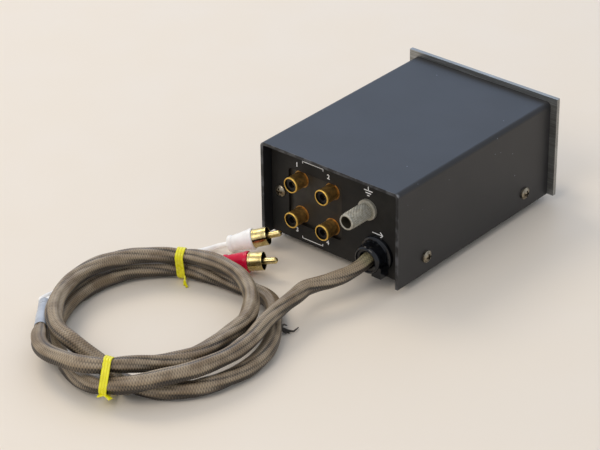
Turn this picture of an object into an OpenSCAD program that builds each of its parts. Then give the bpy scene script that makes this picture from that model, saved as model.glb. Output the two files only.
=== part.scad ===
// Moving coil step-up transformer: a sheet metal case with a thick front panel and two rotary
// selectors, two shielded transformers inside, four pin jacks and an earth terminal at the rear,
// and a braided output cord that lies coiled behind it. +Y is the rear, -Y the front, +Z is up.
// The origin is on the surface that the feet stand on, in the middle of the case and its controls.

/* [Case] */
// Outside width of the cover
case_w = 85; // [77:1:120]
// Height of the cover's sides
case_h = 51.5; // [50:0.5:70]
// Depth of the cover behind the front panel
case_d = 121.5; // [116:0.5:160]
// Thickness of the cover sheet
cover_t = 1.6; // [1:0.1:2]
// Outside radius of the cover's folds
cover_fold_r = 2.4; // [2.1:0.1:4]
// Thickness of the chassis sheet
chassis_t = 1.5; // [1:0.1:2]
// Play between the chassis and the cover
cover_play = 0.3; // [0.2:0.05:0.6]
// Height of the chassis lips above the cover's lower edge
lip_h = 14; // [13:0.5:20]
// Depth of the rear panel inside the cover's rear edge
rear_recess = 6; // [3:0.5:10]
// Height of the cover's lower edge above the surface
cover_lift = 4; // [3.5:0.1:8]
// Height of the chassis floor's underside above the cover's lower edge
floor_lift = 0.6; // [0:0.1:2]

/* [Front panel] */
// How far the front panel stands past each side of the cover
panel_side = 3.75; // [1:0.25:12]
// How far the front panel stands past the cover's top
panel_top = 2.7; // [1:0.1:10]
// Thickness of the front panel
panel_t = 3; // [2.6:0.1:6]
// Bevel round the panel's front edge
panel_bevel = 0.8; // [0.2:0.1:1.5]

/* [Screws and feet] */
// Thread diameter of all case screws
screw_d = 3; // [2.5:0.1:3.5]
// Diameter of the pan heads
head_d = 6.2; // [5:0.1:7]
// Height of the pan heads
head_h = 2.1; // [1.5:0.1:3]
// Radial play of a screw in its hole
screw_play = 0.08; // [0.05:0.01:0.15]
// Height of the cover screws above the cover's lower edge
cover_screw_h = 9; // [8:0.5:10]
// Distance of the front cover screws from the front panel
cover_screw_front = 20; // [16:0.5:26]
// Distance of the rear cover screws from the front panel
cover_screw_rear = 99.8; // [90:0.2:104]
// Largest diameter of a rubber foot
foot_d = 12.5; // [11:0.5:16]
// Distance of the feet from the case's sides
foot_inset_x = 11; // [10:0.5:16]
// Distance of the feet from the front plate and the rear panel
foot_inset_y = 13; // [10:0.5:18]

/* [Selectors] */
// Distance of the selectors from the cover's sides
selector_inset = 20.5; // [19:0.1:22]
// Diameter of a knob
knob_d = 22; // [20:0.5:30]
// Length of a knob
knob_l = 15; // [14:0.5:24]
// Gap between a knob and the front panel
knob_gap = 0.8; // [0.5:0.1:1.5]
// Diameter of the selector shafts
shaft_d = 6; // [5:0.1:6.5]
// Diameter of the threaded bushings
bushing_d = 9; // [8.5:0.1:10]
// Width of the square selector housings
housing_w = 24; // [22:0.5:28]
// Depth of the selector housings
housing_l = 6; // [4:0.5:8]
// Length of the posts that carry a wafer
post_l = 9; // [6:0.5:12]
// Diameter of the wafers
wafer_d = 23; // [23:0.5:26]
// Thickness of the wafers
wafer_t = 1.6; // [1.2:0.1:2.4]
// Radial running clearance of the turning pieces
running_play = 0.05; // [0.02:0.01:0.09]

/* [Pin jacks] */
// Distance between the jack group's centre and the cover's side
jack_inset = 29.2; // [28.8:0.1:30]
// Height of the jack group's centre above the cover's lower edge
jack_h = 24.5; // [23:0.5:30]
// Distance between neighbouring jacks
jack_pitch = 19.4; // [16:0.1:20]
// Outside diameter of a jack shell
jack_d = 8.3; // [7.8:0.1:9]
// Wall of a jack shell
jack_wall = 0.8; // [0.6:0.05:1]
// Length of a jack shell beyond the rear panel's face
jack_reach = 7; // [6:0.1:10]
// Thickness of the jack board
board_t = 2; // [1.5:0.1:3]
// Distance of the board screws from the jack group's centre
board_screw_x = 21.6; // [20.4:0.1:21.8]

/* [Earth terminal] */
// Distance of the earth terminal from the jack board's edge
earth_gap = 8.1; // [7:0.1:9]
// Height of the earth terminal above the cover's lower edge
earth_h = 33.5; // [31:0.5:38]
// Diameter of the threaded stud
stud_d = 4; // [3:0.1:5]
// Diameter of the thumb nut
nut_d = 8.6; // [8:0.1:12]
// Length of the thumb nut
nut_l = 15; // [13:0.5:20]
// Diameter of the clamp washer
washer_d = 10.6; // [10:0.1:12]
// Thickness of the clamp washer
washer_t = 1.4; // [1:0.1:2]

/* [Cord gland] */
// Distance of the gland from the middle between the jack board and the cover's side
gland_shift = 1.35; // [0:0.05:2]
// Height of the gland above the cover's lower edge
gland_h = 11.6; // [11.2:0.1:13]
// Diameter of the gland's flange
gland_flange_d = 18.5; // [17:0.1:19]
// Diameter of the gland's boss
gland_boss_d = 15; // [14:0.1:16.5]
// Length of the gland's boss beyond its flange
gland_boss_l = 7.5; // [5:0.5:9]

/* [Transformers] */
// Diameter of a shield can
can_d = 30; // [29:0.5:32]
// Height of a shield can
can_h = 36; // [30:0.5:40]
// Wall of a shield can
can_wall = 1; // [0.6:0.1:1.4]
// Gap between the two cans
can_gap = 4; // [2:0.5:6]
// Distance of the cans from the front panel
can_back = 60; // [56:0.5:68]

/* [Output cord] */
// Diameter of the braided cord
cord_d = 8.4; // [6:0.1:8.4]
// Mean radius of the coil's loops
coil_r = 49; // [47:0.5:60]
// Height between the coil's two layers
coil_layer = 9; // [9:0.1:11]
// Diameter of the white tail cords
tail_d = 2.8; // [2:0.1:3]
// Width of the coil ties
tie_w = 4; // [2:0.5:6]
// Thickness of the coil ties
tie_t = 0.7; // [0.5:0.1:1]

/* [Hidden] */
$fn = 48;

// Gap between flat faces of pieces that move against each other
face_gap = 0.2;
// Gap between a cord and what holds it
cord_play = 0.35;
// Radial gap between round pieces that stay fixed in each other
fixed_play = 0.03;
// How far a cut runs past the faces it goes through
over = 1;

// Places along the case, from the knobs' fronts to the thumb nut's end
flange_t = 2;
overall_l = knob_l + knob_gap + panel_t + case_d - rear_recess + face_gap + washer_t + nut_l;
knob_front_y = -overall_l / 2;
knob_back_y = knob_front_y + knob_l;
panel_front_y = knob_back_y + knob_gap;
panel_back_y = panel_front_y + panel_t;
rear_edge_y = panel_back_y + case_d;
rear_face_y = rear_edge_y - rear_recess;
rear_inner_y = rear_face_y - chassis_t;
front_inner_y = panel_back_y + chassis_t;

// Heights and half widths of the sheet pieces and the panel
panel_w = case_w + 2 * panel_side;
panel_h = case_h + panel_top;
chassis_z = cover_lift + floor_lift;
floor_z = chassis_z + chassis_t;
chassis_half = case_w / 2 - cover_t - cover_play;
plate_h = case_h - cover_t - cover_play - floor_lift;

// Screw sizes that follow the thread
screw_r = screw_d / 2;
screw_hole_r = screw_r + screw_play;
panel_tap_depth = panel_t - 0.8;
panel_screw_x = chassis_half - 7.35;
panel_screw_low = 9;
panel_screw_high = case_h - 9;
panel_screw_places = [for (side = [-1, 1], h = [panel_screw_low, panel_screw_high])
    [side * panel_screw_x, cover_lift + h]];
tap_spare = 0.3;
screw_past = 2;
cover_screw_z = cover_lift + cover_screw_h;
cover_screw_ys = [panel_back_y + cover_screw_front, panel_back_y + cover_screw_rear];

// Feet: a counterbore takes the screw head
foot_x = case_w / 2 - foot_inset_x;
foot_ys = [front_inner_y + foot_inset_y, rear_inner_y - foot_inset_y];
foot_places = [for (side = [-1, 1], y = foot_ys) [side * foot_x, y]];
foot_draft = 1;
foot_bore_r = head_d / 2 + 0.5;
foot_seat_z = chassis_z - 2.2;
foot_head_h = 1.6;

// Selectors: the input selector first, then the load selector
selector_x = case_w / 2 - selector_inset;
selector_xs = [selector_x, -selector_x];
input_turn = -15;
load_turn = 0;
selector_z = cover_lift + case_h / 2;
shaft_r = shaft_d / 2;
shaft_inset = 4;
knob_recess_r = bushing_d / 2 + 4;
knob_recess_l = 4;
knob_bevel = 1;
index_w = 0.9;
index_depth = 0.6;
bushing_reach = 3.4;
selector_nut_t = 2;
selector_nut_d = bushing_d + 4.6;
wafer_y = front_inner_y + housing_l + post_l;
wafer_back_y = wafer_y + wafer_t;
rotor_r = shaft_r + 3;
rotor_over = 0.7;
shaft_end_y = wafer_back_y + rotor_over + 2;
post_r = 1.9;
post_tip_r = 1.1;
post_turns = [45, 225];
post_place = wafer_d / 2 - post_r;
terminal_step = 30;
terminal_in = wafer_d / 2 - 2.2;
terminal_out = wafer_d / 2 + 2.6;
terminal_w = 1.8;
terminal_t = 0.5;
set_screw_back = 7.5;
set_screw_sink = 0.8;

// Pin jacks
jack_x = case_w / 2 - jack_inset;
jack_z = cover_lift + jack_h;
jack_places = [for (row = [1, -1], column = [1, -1])
    [jack_x + column * jack_pitch / 2, 0, jack_z + row * jack_pitch / 2]];
board_screw_xs = [jack_x - board_screw_x, jack_x + board_screw_x];
jack_r = jack_d / 2;
jack_bore_r = jack_r - jack_wall;
jack_seat_r = jack_r + 0.3;
jack_collar_r = jack_r + 1.2;
jack_collar_t = 1.4;
insulator_sink = 1;
insulator_hole_r = 1.75;
contact_r = 2.3;
contact_bore_r = 1.6;
contact_sink = 3.5;
contact_tail_r = 0.8;
contact_tail_l = 5;
jack_front_y = rear_face_y + jack_reach;
jack_back_y = rear_inner_y - board_t - jack_collar_t;
contact_front_y = jack_front_y - contact_sink;
contact_floor_y = jack_back_y + 2;
tail_end_y = jack_back_y - contact_tail_l;
window_w = jack_pitch + 13.8;
window_h = jack_pitch + 9.9;
window_r = 2;
board_w = 2 * board_screw_x + 6.6;
board_h = window_h + 5;
board_edge_x = jack_x - board_w / 2;

// Earth terminal
earth_x = board_edge_x - earth_gap;
earth_z = cover_lift + earth_h;
stud_r = stud_d / 2;
washer_y = rear_face_y;
nut_y = washer_y + washer_t + face_gap;
nut_bevel = 0.4;
nut_mouth_l = 5;
nut_mouth_r = nut_d / 2 - 1.3;
stud_end_y = nut_y + nut_l - nut_mouth_l - 2.5;
lug_t = 0.8;
lug_r = stud_r + 2.2;
lug_l = lug_r + 7;
stud_head_r = stud_r + 1.6;
stud_head_t = 2.4;

// Cord gland
gland_x = (board_edge_x - case_w / 2) / 2 + gland_shift;
gland_z = cover_lift + gland_h;
gland_neck_r = gland_boss_d / 2 - 1;
gland_collar_r = gland_boss_d / 2 + 0.2;
gland_collar_t = 1.5;
gland_bore_r = cord_d / 2 + cord_play;
gland_face_y = rear_face_y + flange_t + gland_boss_l;
gland_rim_t = 1.3;
gland_mouth_r = gland_boss_d / 2 - gland_rim_t;
gland_mouth_l = 3;
wedge_play = 0.12;
wedge_in = 2.5;
wedge_low = gland_boss_d / 2 + 0.6;
wedge_top = 2;
wedge_over = 0.8;
wedge_past = 1;
wedge_back = 1.5;
wedge_y = rear_face_y + flange_t;

// Transformers
can_x = (can_d + can_gap) / 2;
can_y = panel_back_y + can_back;
can_ear_y = can_d / 2 + 4;
can_screw_places = [for (side = [-1, 1], end = [-1, 1]) [side * can_x, can_y + end * can_ear_y]];
can_ear_r = 4;
can_top_z = floor_z + can_h;
can_in_r = can_d / 2 - can_wall;
lid_t = 1;
lid_spigot = 2;
lid_play = 0.1;
lid_hole_r = 1.2;
core_w = 20;
core_d = 9;
core_h = 22;
core_yoke = 3;
core_leg = 6;
core_window_w = (core_w - core_leg - 2 * core_yoke) / 2;
core_z = floor_z + can_wall;
winding_play = 0.15;
winding_out = 3.6;
winding_round = 2;
winding_z = core_z + core_yoke + winding_play;
winding_top_z = core_z + core_h - core_yoke - winding_play;
lid_lead_y = can_y - can_in_r / 2;
lid_lead_z = can_top_z + lid_t + 3;

// Wires inside the case: lanes along its sides
wire_r = 0.7;
wire_sides = 8;
wire_gap = 0.3;
wire_bend = 8;
wire_pitch = 3.5;
wire_low_z = cover_lift + 18;
wire_side_gap = 1.5;
wire_lane_x = chassis_half - chassis_t - wire_side_gap;
wire_end_y = wafer_back_y + terminal_t + wire_gap;
jack_turns = [-60, -30, 30, 60];

// Places of the cord are counted from here, just behind the cover's rear edge
cord_from_y = rear_edge_y + 0.15;
function behind(x, y, z) = [x, cord_from_y + y, z];

// Cord ends: the plugs' rear centres, their headings, how far they point up, and their sizes
plug_z = 4.2;
left_plug_at = behind(48.3, 18.3, plug_z);
left_plug_turn = 211;
left_plug_tilt = 18;
right_plug_at = behind(38.3, 33.4, plug_z);
right_plug_turn = 206.5;
right_plug_tilt = 10.5;
plug_ring_r = 4.1;
plug_ring_l = 3;
plug_front_r = 5.35;
plug_body_l = 13.5;
plug_shell_r = 4.7;
plug_shell_bore = 4.2;
plug_shell_l = 7.4;
plug_pin_r = 1.6;
plug_pin_over = 7;
plug_pin_z = plug_body_l - 4;
plug_liner_l = 3;

// Coil: loops run clockwise from where the lead crosses over, and wander in and out by swells.
// Each swell is its place along the loops in degrees, its half width and its height.
coil_at = [20, cord_from_y + 95.5];
coil_start = 232;
coil_from = 10;
coil_sweep = 895;
coil_step = 15;
coil_floor = 0.4;
coil_swells = [
    [-6, 18, 13.5], [30, 30, -1.5], [120, 30, 9], [258, 36, 4.5], [290, 28, 2], [346, 18, 5.5],
    [400, 34, 3], [450, 30, 3], [500, 24, -9], [606, 36, 4.5], [670, 36, 1.5],
    [720, 34, -6], [770, 34, -11], [820, 30, -5], [852, 16, 5], [882, 28, 10]
];
coil_drop = [95, 150];
coil_climb = [494, 528];
coil_heap = [850, 20, 0.3];
coil_settle = [865, 900, 0.3];

function smooth_step(from, to, x) =
    let (t = min(1, max(0, (x - from) / (to - from)))) t * t * (3 - 2 * t);
function swell(phi, at, width, height) = height * exp(-pow((phi - at) / width, 2));
function total(list, i = 0) = i < len(list) ? list[i] + total(list, i + 1) : 0;
function coil_reach(phi) = coil_r + total([for (s = coil_swells) swell(phi, s[0], s[1], s[2])]);
function coil_height(phi) = 1 - smooth_step(coil_drop[0], coil_drop[1], phi)
    + smooth_step(coil_climb[0], coil_climb[1], phi)
    + swell(phi, coil_heap[0], coil_heap[1], coil_heap[2])
    - coil_settle[2] * smooth_step(coil_settle[0], coil_settle[1], phi);
function coil_point(phi) = [
    coil_at.x + coil_reach(phi) * cos(coil_start - phi),
    coil_at.y + coil_reach(phi) * sin(coil_start - phi),
    coil_floor + cord_d / 2 + coil_layer * coil_height(phi)
];
function unit(v) = v / norm(v);
function coil_heading(phi) = unit(coil_point(phi + 0.5) - coil_point(phi - 0.5));
function middle(list, i = 0) =
    i < len(list) ? list[i] / len(list) + middle(list, i + 1) : [0, 0, 0];

// Where the tube's straight rings lie between two of its points
function coil_chord(phi) =
    let (at = (phi - coil_from) / coil_step, from = coil_from + floor(at) * coil_step)
    coil_point(from) + (coil_point(from + coil_step) - coil_point(from)) * (at - floor(at));

coil_in = coil_point(coil_from) - coil_heading(coil_from) * cord_d;
coil_out = coil_point(coil_sweep) + coil_heading(coil_sweep) * cord_d;
coil_path = concat([coil_in], [for (phi = [coil_from:coil_step:coil_sweep - 1]) coil_point(phi)],
    [coil_point(coil_sweep), coil_out]);

// Least gap between loops, measured on points each 5 degrees
gap_step = 5;
gap_points = [for (phi = [coil_from:gap_step:coil_sweep]) coil_point(phi)];
gap_near = 120 / gap_step;
coil_gap = min([for (i = [0:len(gap_points) - 1], j = [i + gap_near:1:len(gap_points) - 1])
    norm(gap_points[i] - gap_points[j])]) - cord_d;
echo(coil_gap = coil_gap);

// Lead: from inside the case, through the gland, to the coil's start
lead_inside = 9;
lead_droop = 1.2;
lead_in_y = rear_inner_y - lead_inside;
lead_route = [
    [gland_x, gland_face_y - gland_mouth_l, gland_z],
    [gland_x, gland_face_y + cord_d / 2, gland_z - lead_droop],
    behind(-24.5, 18, 14),
    behind(-22.3, 25, 13.7),
    behind(-19.5, 32, 13.6),
    behind(-17.5, 38, 13.6),
    coil_in - coil_heading(coil_from) * cord_d / 2,
    coil_in
];

// Sleeve: follows the coil's end straight on, and the two tails leave it side by side
sleeve_l = 24.5;
sleeve_r1 = 3.2;
sleeve_r2 = 2.8;
sleeve_heading = coil_heading(coil_sweep);
sleeve_start = coil_out + sleeve_heading * cord_play;
sleeve_end = sleeve_start + sleeve_heading * sleeve_l;
sleeve_side = unit(cross(sleeve_heading, [0, 0, 1]));
tail_apart = tail_d + 0.4;
tail_straight = 2 * tail_d;
left_tail_in = sleeve_end - sleeve_side * tail_apart / 2;
right_tail_in = sleeve_end + sleeve_side * tail_apart / 2;

function plug_heading(turn, tilt) = [cos(tilt) * cos(turn), cos(tilt) * sin(turn), sin(tilt)];
left_tail_route = [
    left_tail_in,
    left_tail_in + sleeve_heading * tail_d,
    behind(79, 111, 6.8), behind(82, 105, 4), behind(85, 96.5, 1.8), behind(86, 87, 1.6),
    behind(84.5, 77, 1.6), behind(80, 66.5, 1.6), behind(73.5, 56, 1.6), behind(66.5, 46, 1.6),
    behind(62.3, 38, 1.6), behind(58.3, 31, 1.6), behind(55.2, 25, 1.8),
    left_plug_at - plug_heading(left_plug_turn, left_plug_tilt) * tail_straight,
    left_plug_at
];
right_tail_route = [
    right_tail_in,
    right_tail_in + sleeve_heading * tail_d,
    behind(75, 111, 6.8), behind(77.5, 106, 4), behind(80.5, 98, 1.8), behind(81.8, 88.5, 1.6),
    behind(80.5, 79, 1.6), behind(76.5, 69.5, 1.6), behind(70, 59.5, 1.6), behind(62, 51.5, 1.6),
    behind(55, 45.5, 1.6), behind(49, 40.2, 2),
    right_plug_at - plug_heading(right_plug_turn, right_plug_tilt) * tail_straight,
    right_plug_at
];

// Ties: where the loops lie on each other, and the room each tie leaves beside them
upper_tie_places = [289.5, 649.5];
upper_tie_play = 0.4;
lower_tie_places = [125, 485, 845];
lower_tie_play = 1;
tie_play = 0.2;
tie_reach = atan((tie_w / 2 + cord_play) / coil_r);

// Sides of the cords' tubes
coil_sides = 6;
lead_sides = 10;
tail_sides = 8;

// Shared shapes

// A rod along +Y that starts at a place
module rod_y(at, r, l) {
    translate(at) rotate([-90, 0, 0]) cylinder(h = l, r = r);
}

// A hole along Y through what lies between a place and a length on
module bore_y(at, r, l) {
    rod_y(at - [0, over, 0], r, l + 2 * over);
}

// A hole along Z through what lies between a place and a height on
module bore_z(at, r, h) {
    translate(at - [0, 0, over]) cylinder(h = h + 2 * over, r = r);
}

// A plate outline in X and Z, with its two upper corners rounded
module arch_outline(half, h, r) {
    translate([-half, 0]) square([2 * half, h - r]);
    translate([r - half, 0]) square([2 * (half - r), h]);
    for (side = [-1, 1]) translate([side * (half - r), h - r]) circle(r);
}

// A rectangle with four rounded corners, centred
module round_rectangle(w, h, r) {
    square([w - 2 * r, h], center = true);
    square([w, h - 2 * r], center = true);
    for (sx = [-1, 1], sy = [-1, 1]) translate([sx * (w / 2 - r), sy * (h / 2 - r)]) circle(r);
}

// An outline in X and Z made into a plate from y on, as thick as t
module upright(y, z, t) {
    translate([0, y + t, z]) rotate([90, 0, 0]) linear_extrude(t) children();
}

// A pan-head screw with a cross recess: seat at the origin, head up, thread down
module pan_screw(l, h = head_h) {
    dome_r = 0.73 * head_d;
    slot_w = 0.16 * head_d;
    slot_l = 0.58 * head_d;
    slot_z = h / 2;
    difference() {
        union() {
            intersection() {
                cylinder(h = h, d = head_d);
                translate([0, 0, h - dome_r]) sphere(dome_r);
            }
            translate([0, 0, -l]) cylinder(h = l, r = screw_r);
        }
        for (turn = [0, 90]) rotate(turn)
            translate([-slot_l / 2, -slot_w / 2, slot_z]) cube([slot_l, slot_w, h]);
    }
}

function ring_heading(path, i) =
    unit(path[min(i + 1, len(path) - 1)] - path[max(i - 1, 0)]);
function ring(path, i, r, sides, ref) =
    let (t = ring_heading(path, i), s = unit(cross(t, ref)), u = cross(s, t), step = 360 / sides)
    [for (k = [0:sides - 1]) path[i] + r * (cos(k * step) * s + sin(k * step) * u)];

// A closed tube swept along a path
module tube(path, r, sides, ref = [0, 0, 1]) {
    last = len(path) - 1;
    points = [for (i = [0:last], p = ring(path, i, r, sides, ref)) p];
    walls = [for (i = [0:last - 1], k = [0:sides - 1], half = [0, 1])
        let (a = i * sides + k, b = i * sides + (k + 1) % sides)
        half == 0 ? [a, b, b + sides] : [a, b + sides, a + sides]];
    polyhedron(points, concat([[for (k = [sides - 1:-1:0]) k]], walls,
        [[for (k = [0:sides - 1]) last * sides + k]]));
}

function spline(a, b, c, d, t) = 0.5 * (2 * b + (c - a) * t + (2 * a - 5 * b + 4 * c - d) * t * t
    + (3 * b - a - 3 * c + d) * t * t * t);

// A route with straight ends and smooth bends between
function cord_path(route, steps) = concat([route[0]],
    [for (i = [1:len(route) - 3], k = [0:steps - 1])
        spline(route[i - 1], route[i], route[i + 1], route[i + 2], k / steps)],
    [route[len(route) - 2], route[len(route) - 1]]);

// Case

module cover_screw_holes() {
    for (y = cover_screw_ys)
        translate([-case_w, y, cover_screw_z]) rotate([0, 90, 0])
            cylinder(h = 2 * case_w, r = screw_hole_r);
}

module base_chassis() {
    depth = rear_face_y - panel_back_y;
    color([0.1, 0.1, 0.1]) difference() {
        union() {
            translate([-chassis_half, panel_back_y, chassis_z])
                cube([2 * chassis_half, depth, chassis_t]);
            for (y = [panel_back_y, rear_inner_y])
                upright(y, chassis_z, chassis_t) arch_outline(chassis_half, plate_h, cover_fold_r);
            for (x = [-chassis_half, chassis_half - chassis_t])
                translate([x, panel_back_y, chassis_z]) cube([chassis_t, depth, lip_h - floor_lift]);
        }
        for (x = selector_xs)
            bore_y([x, panel_back_y, selector_z], bushing_d / 2 + running_play, chassis_t);
        for (p = panel_screw_places) bore_y([p[0], panel_back_y, p[1]], screw_hole_r, chassis_t);
        upright(rear_inner_y - over, jack_z, chassis_t + 2 * over)
            translate([jack_x, 0]) round_rectangle(window_w, window_h, window_r);
        for (x = board_screw_xs) bore_y([x, rear_inner_y, jack_z], screw_hole_r, chassis_t);
        bore_y([earth_x, rear_inner_y, earth_z], stud_r + screw_play, chassis_t);
        bore_y([gland_x, rear_inner_y, gland_z], gland_neck_r + screw_play, chassis_t);
        for (p = foot_places) bore_z([p[0], p[1], chassis_z], screw_hole_r, chassis_t);
        for (p = can_screw_places) bore_z([p[0], p[1], chassis_z], screw_hole_r, chassis_t);
        cover_screw_holes();
    }
}

module top_cover() {
    color([0.2, 0.21, 0.23]) difference() {
        upright(panel_back_y, cover_lift, case_d) difference() {
            arch_outline(case_w / 2, case_h, cover_fold_r);
            translate([0, -cover_t])
                arch_outline(case_w / 2 - cover_t, case_h, cover_fold_r - cover_t);
        }
        cover_screw_holes();
    }
}

module front_panel() {
    bar = panel_bevel * sqrt(2);
    bar_l = 2 * max(panel_w, panel_h);
    mid_z = cover_lift + panel_h / 2;
    color([0.75, 0.75, 0.74]) difference() {
        translate([-panel_w / 2, panel_front_y, cover_lift]) cube([panel_w, panel_t, panel_h]);
        for (side = [-1, 1]) {
            translate([side * panel_w / 2, panel_front_y, mid_z]) rotate([0, 0, 45])
                cube([bar, bar, bar_l], center = true);
            translate([0, panel_front_y, mid_z + side * panel_h / 2]) rotate([45, 0, 0])
                cube([bar_l, bar, bar], center = true);
        }
        for (x = selector_xs)
            bore_y([x, panel_front_y, selector_z], bushing_d / 2 + running_play, panel_t);
        for (p = panel_screw_places)
            rod_y([p[0], panel_back_y - panel_tap_depth, p[1]], screw_hole_r, panel_tap_depth + over);
    }
}

module panel_screws() {
    screw_l = chassis_t + panel_tap_depth - tap_spare;
    color([0.7, 0.68, 0.62]) for (p = panel_screw_places)
        translate([p[0], front_inner_y, p[1]]) rotate([-90, 0, 0]) pan_screw(screw_l);
}

module cover_screws() {
    screw_l = cover_t + cover_play + chassis_t + screw_past;
    color([0.7, 0.66, 0.56]) for (side = [-1, 1], y = cover_screw_ys)
        translate([side * case_w / 2, y, cover_screw_z]) rotate([0, side * 90, 0])
            pan_screw(screw_l);
}

module rubber_feet() {
    color([0.08, 0.08, 0.08]) for (p = foot_places) translate([p[0], p[1], 0]) difference() {
        cylinder(h = chassis_z, d1 = foot_d - 2 * foot_draft, d2 = foot_d);
        translate([0, 0, -over]) cylinder(h = foot_seat_z + over, r = foot_bore_r);
        cylinder(h = chassis_z + over, r = screw_hole_r);
    }
}

module foot_screws() {
    screw_l = chassis_z - foot_seat_z + chassis_t + screw_past;
    color([0.7, 0.68, 0.62]) for (p = foot_places)
        translate([p[0], p[1], foot_seat_z]) rotate([180, 0, 0]) pan_screw(screw_l, foot_head_h);
}

// Pin jacks

module jack_board() {
    board_y = rear_inner_y - board_t;
    color([0.09, 0.08, 0.07]) difference() {
        upright(board_y, jack_z, board_t)
            translate([jack_x, 0]) round_rectangle(board_w, board_h, window_r);
        for (p = jack_places) bore_y([p.x, board_y, p.z], jack_seat_r + fixed_play, board_t);
        for (x = board_screw_xs) bore_y([x, board_y, jack_z], screw_hole_r, board_t);
    }
}

module jack_shell(p) {
    shell_l = jack_front_y - jack_back_y;
    color([0.72, 0.55, 0.25]) difference() {
        union() {
            rod_y([p.x, jack_back_y, p.z], jack_r, shell_l);
            rod_y([p.x, jack_back_y, p.z], jack_seat_r, jack_collar_t + board_t);
            rod_y([p.x, jack_back_y, p.z], jack_collar_r, jack_collar_t);
        }
        bore_y([p.x, jack_back_y, p.z], jack_bore_r, shell_l);
    }
}

module input_1_left_jack() { jack_shell(jack_places[0]); }
module input_1_right_jack() { jack_shell(jack_places[1]); }
module input_2_left_jack() { jack_shell(jack_places[2]); }
module input_2_right_jack() { jack_shell(jack_places[3]); }

module jack_insulators() {
    length = jack_front_y - insulator_sink - jack_back_y;
    nest_l = contact_front_y - jack_back_y;
    color([0.05, 0.05, 0.05]) for (p = jack_places) difference() {
        rod_y([p.x, jack_back_y, p.z], jack_bore_r - fixed_play, length);
        rod_y([p.x, jack_back_y - over, p.z], contact_r + fixed_play, nest_l + over);
        rod_y([p.x, jack_back_y, p.z], insulator_hole_r, length + over);
    }
}

module jack_contacts() {
    color([0.75, 0.6, 0.3]) for (p = jack_places) difference() {
        union() {
            rod_y([p.x, jack_back_y, p.z], contact_r, contact_front_y - jack_back_y);
            rod_y([p.x, tail_end_y, p.z], contact_tail_r, contact_floor_y - tail_end_y);
        }
        rod_y([p.x, contact_floor_y, p.z], contact_bore_r, contact_front_y - contact_floor_y + over);
    }
}

module jack_board_screws() {
    screw_l = chassis_t + board_t + screw_past;
    color([0.72, 0.7, 0.66]) for (x = board_screw_xs)
        translate([x, rear_face_y, jack_z]) rotate([-90, 0, 0]) pan_screw(screw_l);
}

// Earth terminal

module ground_stud() {
    head_y = rear_inner_y - lug_t - stud_head_t;
    color([0.7, 0.7, 0.68]) {
        rod_y([earth_x, head_y, earth_z], stud_r, stud_end_y - head_y);
        rod_y([earth_x, head_y, earth_z], stud_head_r, stud_head_t);
    }
}

module ground_lug() {
    lug_y = rear_inner_y - lug_t;
    color([0.75, 0.72, 0.6]) difference() {
        union() {
            rod_y([earth_x, lug_y, earth_z], lug_r, lug_t);
            translate([earth_x - lug_l, lug_y, earth_z - stud_r / 2]) cube([lug_l, lug_t, stud_r]);
        }
        bore_y([earth_x, lug_y, earth_z], stud_r + screw_play, lug_t);
    }
}

module ground_clamp_washer() {
    color([0.62, 0.62, 0.6]) difference() {
        rod_y([earth_x, washer_y, earth_z], washer_d / 2, washer_t);
        bore_y([earth_x, washer_y, earth_z], stud_r + 2 * running_play, washer_t);
    }
}

module ground_thumb_nut() {
    start_y = nut_y + running_play;
    end_y = nut_y + nut_l;
    straight_l = end_y - start_y - 2 * nut_bevel;
    color([0.62, 0.62, 0.6]) difference() {
        translate([earth_x, start_y, earth_z]) rotate([-90, 0, 0]) {
            cylinder(h = nut_bevel, d1 = nut_d - 2 * nut_bevel, d2 = nut_d);
            translate([0, 0, nut_bevel]) cylinder(h = straight_l, d = nut_d);
            translate([0, 0, nut_bevel + straight_l])
                cylinder(h = nut_bevel, d1 = nut_d, d2 = nut_d - 2 * nut_bevel);
        }
        rod_y([earth_x, start_y - over, earth_z], stud_r + running_play, nut_l);
        rod_y([earth_x, end_y - nut_mouth_l, earth_z], nut_mouth_r, nut_mouth_l + over);
    }
}

// Cord gland

module wedge_block(length, play) {
    width = gland_boss_d / 2 + wedge_over - wedge_in;
    height = wedge_low - wedge_top;
    translate([gland_x - wedge_in - width + play, wedge_y + play, gland_z - wedge_low + play])
        cube([width - 2 * play, length, height - 2 * play]);
}

module strain_relief_body() {
    inner_y = rear_inner_y - gland_collar_t;
    color([0.05, 0.05, 0.06]) difference() {
        union() {
            rod_y([gland_x, inner_y, gland_z], gland_collar_r, gland_collar_t);
            rod_y([gland_x, rear_inner_y, gland_z], gland_neck_r, chassis_t);
            rod_y([gland_x, rear_face_y, gland_z], gland_flange_d / 2, flange_t);
            rod_y([gland_x, rear_face_y, gland_z], gland_boss_d / 2, flange_t + gland_boss_l);
        }
        bore_y([gland_x, inner_y, gland_z], gland_bore_r, gland_face_y - inner_y);
        translate([gland_x, gland_face_y - gland_mouth_l, gland_z]) rotate([-90, 0, 0])
            cylinder(h = gland_mouth_l + over, r1 = gland_bore_r, r2 = gland_mouth_r);
        wedge_block(gland_boss_l + wedge_past, 0);
    }
}

module strain_relief_wedge() {
    color([0.06, 0.06, 0.07]) difference() {
        wedge_block(gland_boss_l - wedge_back, wedge_play);
        bore_y([gland_x, wedge_y, gland_z], gland_bore_r, gland_boss_l);
    }
}

// Selectors

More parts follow.
